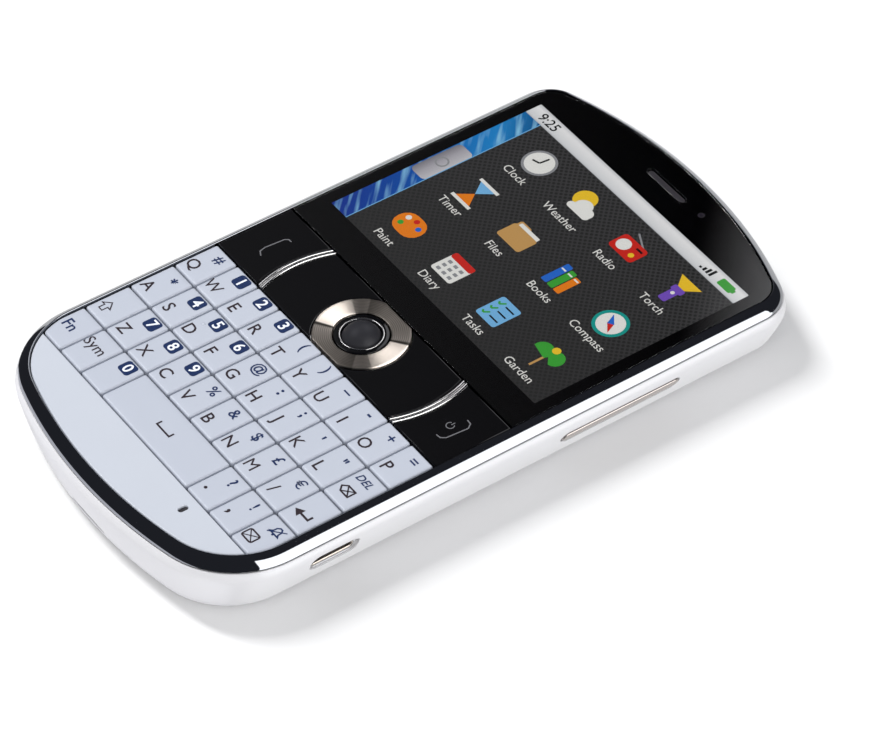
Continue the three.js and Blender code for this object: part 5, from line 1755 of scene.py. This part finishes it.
for number in range(TONGUE_CONTACTS):
    contact_y = usb_y + (number - (TONGUE_CONTACTS - 1) / 2) * 0.75
    shape = round_box((usb_back + usb_front) / 2 - 0.3, contact_y, usb_front - usb_back - 2.4, 0.32, 0.05,
                      steps=2)
    plate(tongue, shape, [], usb_z - TONGUE_THICKNESS / 2 - 0.03, usb_z + TONGUE_THICKNESS / 2 + 0.03, 0.01,
          low_edge=0.01, steps=1)
settle("usb_tongue", tongue, [black_plastic, gold_contact], "phone_body", sharp=35)
print("charging socket", USB_WIDTH, "by", USB_HEIGHT, "with", TONGUE_CONTACTS, "contacts")

# %% [markdown]
# ## Screws
# Four small screws hold the case. They show only when the cover is off. Each is turned from a profile
# with a domed head, and a six-lobed recess is sunk in it.

# %% Turn the four screws
SCREW_PLACES = [(24, 45.5), (-24, 45.5), (20.5, -47.5), (-20.5, -47.5)]
SCREW_HEAD_RADIUS = 1.75
SCREW_HEAD_Z = 1.55
SCREW_HEAD_HEIGHT = 0.75
SCREW_RECESS_RADIUS = 0.75
SCREW_LOBES = 6
screws = Form()
turns = np.linspace(0, 2 * math.pi, 60, endpoint=False)
# each ring of a screw: its radius, its height over the head's foot, and how much it is lobed
SCREW_PROFILE = ((SCREW_HEAD_RADIUS, SCREW_HEAD_HEIGHT, 0), (SCREW_HEAD_RADIUS, 0.3, 0),
                 (SCREW_HEAD_RADIUS * 0.94, 0.12, 0), (SCREW_HEAD_RADIUS * 0.75, 0, 0),
                 (SCREW_RECESS_RADIUS + 0.1, -0.04, 0.12), (SCREW_RECESS_RADIUS, 0, 0.14),
                 (SCREW_RECESS_RADIUS * 0.9, 0.5, 0.14))
for x, y in SCREW_PLACES:
    rings = [screws.ring(polar(x, y, radius * (1 + lobe * np.cos(SCREW_LOBES * turns)), turns),
                         SCREW_HEAD_Z + rise) for radius, rise, lobe in SCREW_PROFILE]
    screws.stack(rings)
    screws.fan(rings[-1], (x, y, SCREW_HEAD_Z + 0.55))
    screws.fan(rings[0], (x, y, SCREW_HEAD_Z + SCREW_HEAD_HEIGHT))
settle("case_screws", screws, [dark_screw], "phone_body", sharp=35)
print("screws", len(SCREW_PLACES))

# %% [markdown]
# ## The legends
# Letters are printed thin and dark in the lower left of each key, and the second sign sits above them to
# the right, in dark blue or as a white digit on a blue tile. The print is real geometry here: flat
# lettering laid on the pillow of its key a fiftieth of a millimetre above the surface, so that it stays
# sharp at any distance and moves with its key. Some letters are made thinner or bolder than the rest,
# where their strokes would run together or break up.

# %% Lay the letters and signs on the keys
LETTER_HEIGHT = 2.0
LETTER_X = -1.16
LETTER_Y = -1.6
SIGN_X = 0.45
SIGN_Y = 2.0
TILE_SIZE = 2.5
TILE_X = 0.62
TILE_Y = 2.24
PRINT_LIFT = 0.02
PRINT_EDGE = 0.22
LETTER_WEIGHTS = {"period": 0.1, "comma": 0.1, "m": 0.0, "w": 0.004, "n": 0.014, "k": 0.014, "x": 0.014,
                  "slash": 0.035}
SIGN_WEIGHTS = {"€": 0.01, "_": 0.07, "-": 0.07, ":": 0.09, ";": 0.07, "'": 0.07, '"': 0.06, "*": 0.06,
                "?": 0.05}
KEY_INKS = [legend_dark, legend_blue, legend_white]
DARK_INK, BLUE_INK, WHITE_INK = range(3)


def on_key(name):
    """A height function that lays flat points on the pillow of a key."""
    low, high = box_of(f"{name}_key")

    def height(points, lift=PRINT_LIFT):
        points = np.asarray(points)
        depth = np.minimum.reduce([points[:, 0] - low[0], high[0] - points[:, 0],
                                   points[:, 1] - low[1], high[1] - points[:, 1]])
        return [deck_z - key_drop(max(value, PRINT_EDGE)) + lift for value in depth]
    return height


def ink_shape(form, outline, height, ink):
    form.finish = ink
    form.lid(form.ring(outline, height(outline)))


def ink_line(form, points, width, height, ink, closed):
    """A drawn line with square joints along a few points."""
    count = len(points)
    left, right = [], []
    for i, point in enumerate(points):
        into = point - points[i - 1] if closed or i else None
        out = points[(i + 1) % count] - point if closed or i < count - 1 else None
        into, out = (out if into is None else into), (into if out is None else out)
        into, out = into / np.linalg.norm(into), out / np.linalg.norm(out)
        across = np.array((-(into + out)[1], (into + out)[0]))
        across /= np.linalg.norm(across)
        reach = width / 2 / max(across @ np.array((-into[1], into[0])), 0.35)
        left.append(point + across * reach)
        right.append(point - across * reach)
    form.finish = ink
    form.band(*[form.ring(side, height(side)) for side in (right, left)], closed)


def draw_icon(form, icon, x, y, height, ink):
    """Draw the lines of an icon about a point; a line of no width is a filled shape."""
    for points, width, closed in icon:
        outline = np.array(points, float) + (x, y)
        if width:
            ink_line(form, outline, width, height, ink, closed)
        else:
            ink_shape(form, outline, height, ink)


BELL = [([(-0.95, -0.6), (0.95, -0.6), (0.6, -0.25), (0.55, 0.4), (0.2, 0.8), (-0.2, 0.8), (-0.55, 0.4),
          (-0.6, -0.25)], 0.26, True),
        (disc(0, -0.8, 0.2, 12)(), 0, True), ([(-1.15, -1.0), (1.15, 1.0)], 0.2, False)]
# each icon: where it sits on its key, and its lines as points, width and whether they close
ICONS = {
    "delete": ((-0.45, -1.2), [
        ([(-1.3, 0.0), (-0.6, -0.75), (1.15, -0.75), (1.15, 0.75), (-0.6, 0.75)], 0.28, True),
        ([(-0.5, 0.65), (0.95, -0.65)], 0.22, False), ([(-0.5, -0.65), (0.95, 0.65)], 0.22, False)]),
    "shift": ((-1.0, -1.3), [
        ([(-0.42, -1.0), (0.42, -1.0), (0.42, 0.05), (1.05, 0.05), (0, 1.15), (-1.05, 0.05), (-0.42, 0.05)],
         0.2, True)]),
    "enter": ((-0.3, -1.1), [([(1.5, 0.85), (1.5, -0.1), (-0.4, -0.1)], 0.36, False),
                             ([(-1.6, -0.1), (-0.2, -0.95), (-0.2, 0.75)], 0, True)]),
    "space": ((0, 0), [([(-1.6, 0.45), (-1.6, -0.45), (1.6, -0.45), (1.6, 0.45)], 0.3, False)]),
    "message": ((-1.0, -1.5), [
        (round_box(0, 0, 2.3, 1.8, 0.35, steps=3)(), 0.28, True),
        ([(1, -0.75), (-1, 0.75)], 0.18, False), ([(-1, -0.75), (1, 0.75)], 0.18, False)]),
}
SECOND_SIGNS = dict(zip("qwertyuiopasdfghjklzxcvbnm", "#123()_-+=*456@:;'\"789%&$£"), slash="€",
                    period="?", comma="!", zero="0")
WRITTEN = {"slash": "/", "period": ".", "comma": ","}
SIGN_HEIGHT = 1.75
NIB_KEY = "d"
NIB_SHIFT = (-0.87, 0.54)


def make_legend(name):
    low, high = box_of(f"{name}_key")
    x, y = (low[:2] + high[:2]) / 2
    height = on_key(name)
    form = Form()

    def write(text, size, weight, dx, dy, ink, **style):
        lay_letters(form, letters(text, size, weight=weight, **style), x + dx, y + dy, height, ink)

    if name in ICONS:
        (dx, dy), icon = ICONS[name]
        draw_icon(form, icon, x + dx, y + dy, height, DARK_INK)
    elif name == "fn":
        write("Fn", 1.85, 0.035, -0.6, 0.15, BLUE_INK)
    elif name == "sym":
        write("Sym", 1.85, 0.01, -0.38, 0.5, DARK_INK)
    elif name != "zero":
        write(WRITTEN.get(name, name.upper()), LETTER_HEIGHT, LETTER_WEIGHTS.get(name, 0.028), LETTER_X,
              LETTER_Y, DARK_INK)
    second = SECOND_SIGNS.get(name)
    if second and second.isdigit():
        tile_x, tile_y = x + TILE_X, y + TILE_Y
        ink_shape(form, round_box(tile_x, tile_y, TILE_SIZE, TILE_SIZE, 0.55, steps=4)(), height, BLUE_INK)
        lay_letters(form, letters(second, SIGN_HEIGHT, weight=0.045), tile_x, tile_y,
                    lambda points: height(points, 2 * PRINT_LIFT), WHITE_INK)
    elif second:
        write(second, SIGN_HEIGHT, SIGN_WEIGHTS.get(second, 0.035), SIGN_X, SIGN_Y, BLUE_INK)
    if name == "delete":
        write("DEL", 1.25, 0.03, -0.38, 1.85, BLUE_INK, slant=0.25)
    if name == "message":
        draw_icon(form, BELL, x + 0.6, y + 1.9, height, BLUE_INK)
    return settle(f"{name}_legend", form, KEY_INKS, f"{name}_key", mend=False)


key_legends = {name: make_legend(name) for row in key_rows for name in row}

nib = Form()
nib_x, nib_y = middle_of(f"{NIB_KEY}_key")[:2] + NIB_SHIFT
rings = [nib.ring(disc(nib_x, nib_y, radius, 20)(), deck_z - 0.03 + rise)
         for radius, rise in ((0.34, -0.02), (0.32, 0.06), (0.24, 0.13), (0.12, 0.16))]
nib.stack(rings)
nib.fan(rings[-1], (nib_x, nib_y, deck_z + 0.14))
nib.lid(rings[0], down=True)
settle("home_nib", nib, [pearl], f"{NIB_KEY}_key", sharp=60)
print("legends", len(key_legends))

# %% Draw the signs on the navigation keys
NAV_INK_WIDTH = 0.2
nav_top = box_of("call_key")[1][2]


def nav_height(points, lift=PRINT_LIFT):
    return [nav_top + lift] * len(points)


NAV_SIGNS = {
    "call": [([(-22.58, -4.62), (-23.24, -4.68), (-23.6, -5.19), (-23.86, -8.56), (-23.6, -9.61),
               (-22.7, -10.08)], NAV_INK_WIDTH, False)],
    "end": [([(23.64, -4.72), (24.54, -4.82), (25.1, -5.6), (24.8, -9.3), (24.3, -10.0), (23.45, -10.12)],
             NAV_INK_WIDTH, False),
            (arc(23.1, -7.4, 0.62, math.radians(125), math.radians(415), 18), NAV_INK_WIDTH * 0.8, False),
            ([(23.1, -7.2), (23.1, -6.5)], NAV_INK_WIDTH * 0.8, False)],
}
for name, icon in NAV_SIGNS.items():
    form = Form()
    draw_icon(form, icon, 0, 0, nav_height, 0)
    settle(f"{name}_legend", form, [legend_grey], f"{name}_key", mend=False)
print("navigation signs drawn")

# %% [markdown]
# ## Parts below the skin
# A few solids keep their own shape, because they are plain mouldings that only show when the cover is
# off or through an opening. They still need a finish that tells what they are. The circuit board carries
# three materials at once, which its height can tell apart: green lacquer with copper lines on the board,
# tinned shields hanging below it, and gold springs lowest of all. The camera's lens is drawn in the same
# way, by distance, and the earpiece's grille by a pattern of small holes painted near-black as painted shade.

# %% Mix finishes by place
def mask_between(tree, value, low, high, soft=0.02):
    """1 where a value lies between two limits, 0 elsewhere."""
    width = calculate(tree, "ABSOLUTE", calculate(tree, "SUBTRACT", value, (low + high) / 2))
    return map_range(tree, width, (high - low) / 2 + soft, (high - low) / 2)


def lay_over(material, mask, colour, metallic=False):
    """Put a colour, and metal where asked, over a finish where a mask says so."""
    tree = material.node_tree
    shader = tree.nodes["Principled BSDF"]
    below = shader.inputs["Base Color"].links[0].from_socket
    tree.links.new(blend_colour(tree, mask, below, colour), shader.inputs["Base Color"])
    if metallic:
        links = shader.inputs["Metallic"].links
        total = calculate(tree, "MAXIMUM", links[0].from_socket, mask) if links else mask
        tree.links.new(total, shader.inputs["Metallic"])


BOARD_LOW_Z = 7.4
COPPER_PITCH = 0.9
COPPER_WIDTH = 0.16
SPRING_Z = 4.6
board_finish = new_finish("green board lacquer", (0.012, 0.075, 0.035), (0.25, 0.4), grain=(3000.0, 0.003))
tree = board_finish.node_tree
x, y, z = place_in_mm(tree)
steps = noise(tree, noise_dimensions="1D", W=calculate(tree, "SNAP", y, 3.0), Scale=1.7)
runs = calculate(tree, "PINGPONG", calculate(tree, "MULTIPLY_ADD", steps, 9.0, x), COPPER_PITCH / 2)
for value, high, colour, metallic in ((runs, COPPER_WIDTH / 2, (0.03, 0.16, 0.07), False),
                                      (z, BOARD_LOW_Z - 0.03, (0.7, 0.7, 0.69), True),
                                      (z, SPRING_Z, (0.95, 0.68, 0.3), True)):
    lay_over(board_finish, mask_between(tree, value, 0, high), colour, metallic)

battery_low, battery_high = box_of("battery")
CONTACT_PITCH = 3.0
CONTACT_WIDTH = 1.8
WRAP_EDGE = 0.35
battery_finish = new_finish("battery wrap", (0.035, 0.037, 0.042), (0.3, 0.45), grain=(1500.0, 0.004))
tree = battery_finish.node_tree
x, y, z = place_in_mm(tree)
label = mask_between(tree, y, battery_low[1] + 4, battery_high[1] - 4, 0.05)
lay_over(battery_finish, label, (0.2, 0.21, 0.22))
wrap = mask_between(tree, z, battery_low[2] + WRAP_EDGE, battery_high[2] - WRAP_EDGE)
lay_over(battery_finish, wrap, (0.02, 0.02, 0.022))
contact_x = calculate(tree, "PINGPONG", x, CONTACT_PITCH / 2)
on_end = mask_between(tree, y, battery_high[1] - 0.02, battery_high[1] + 1)
stripes = calculate(tree, "MULTIPLY", mask_between(tree, contact_x, 0, CONTACT_WIDTH / 2),
                    mask_between(tree, x, -6, 6))
lay_over(battery_finish, calculate(tree, "MULTIPLY", stripes, on_end), (0.95, 0.68, 0.3), metallic=True)

LENS_RADIUS = 1.15
LENS_RIM = 1.45
camera_finish = new_finish("camera housing", (0.02, 0.02, 0.022), (0.2, 0.32), grain=(3500.0, 0.004))
tree = camera_finish.node_tree
x, y, _ = place_in_mm(tree)
from_lens = far_from(tree, x, calculate(tree, "SUBTRACT", y, CAMERA_Y))
rim = mask_between(tree, from_lens, LENS_RADIUS, LENS_RIM)
lay_over(camera_finish, rim, (0.45, 0.45, 0.46), metallic=True)
for radius, colour in ((LENS_RADIUS, (0.006, 0.006, 0.02)), (LENS_RADIUS * 0.45, (0.03, 0.012, 0.045))):
    lay_over(camera_finish, mask_between(tree, from_lens, 0, radius), colour)

GRILLE_PITCH = 0.55
GRILLE_HOLE_SHADE = 0.17
grille_finish = new_finish("earpiece grille", (0.018, 0.015, 0.021), (0.45, 0.6), grain=(4000.0, 0.004))
tree = grille_finish.node_tree
cells = [calculate(tree, "PINGPONG", value, GRILLE_PITCH / 2) for value in place_in_mm(tree)[:2]]
from_hole = far_from(tree, *cells)
# painted shade: the holes are near-black dots, not cut
lay_over(grille_finish, mask_between(tree, from_hole, 0, GRILLE_HOLE_SHADE, 0.05), (0.001, 0.001, 0.001))

solid_finishes = {"keypad_sheet": silicone, "main_board": board_finish, "battery": battery_finish,
                  "headset_socket": black_plastic, "camera_module": camera_finish, "earpiece": grille_finish,
                  "loudspeaker": black_plastic, "lcd_panel": tinned_steel}
for node, finish in solid_finishes.items():
    for material_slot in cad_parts[node].material_slots:
        material_slot.material = finish
bare = [name for name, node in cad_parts.items() if not node.hide_render and name not in solid_finishes]
print("finished solids", len(solid_finishes), "still bare", bare)
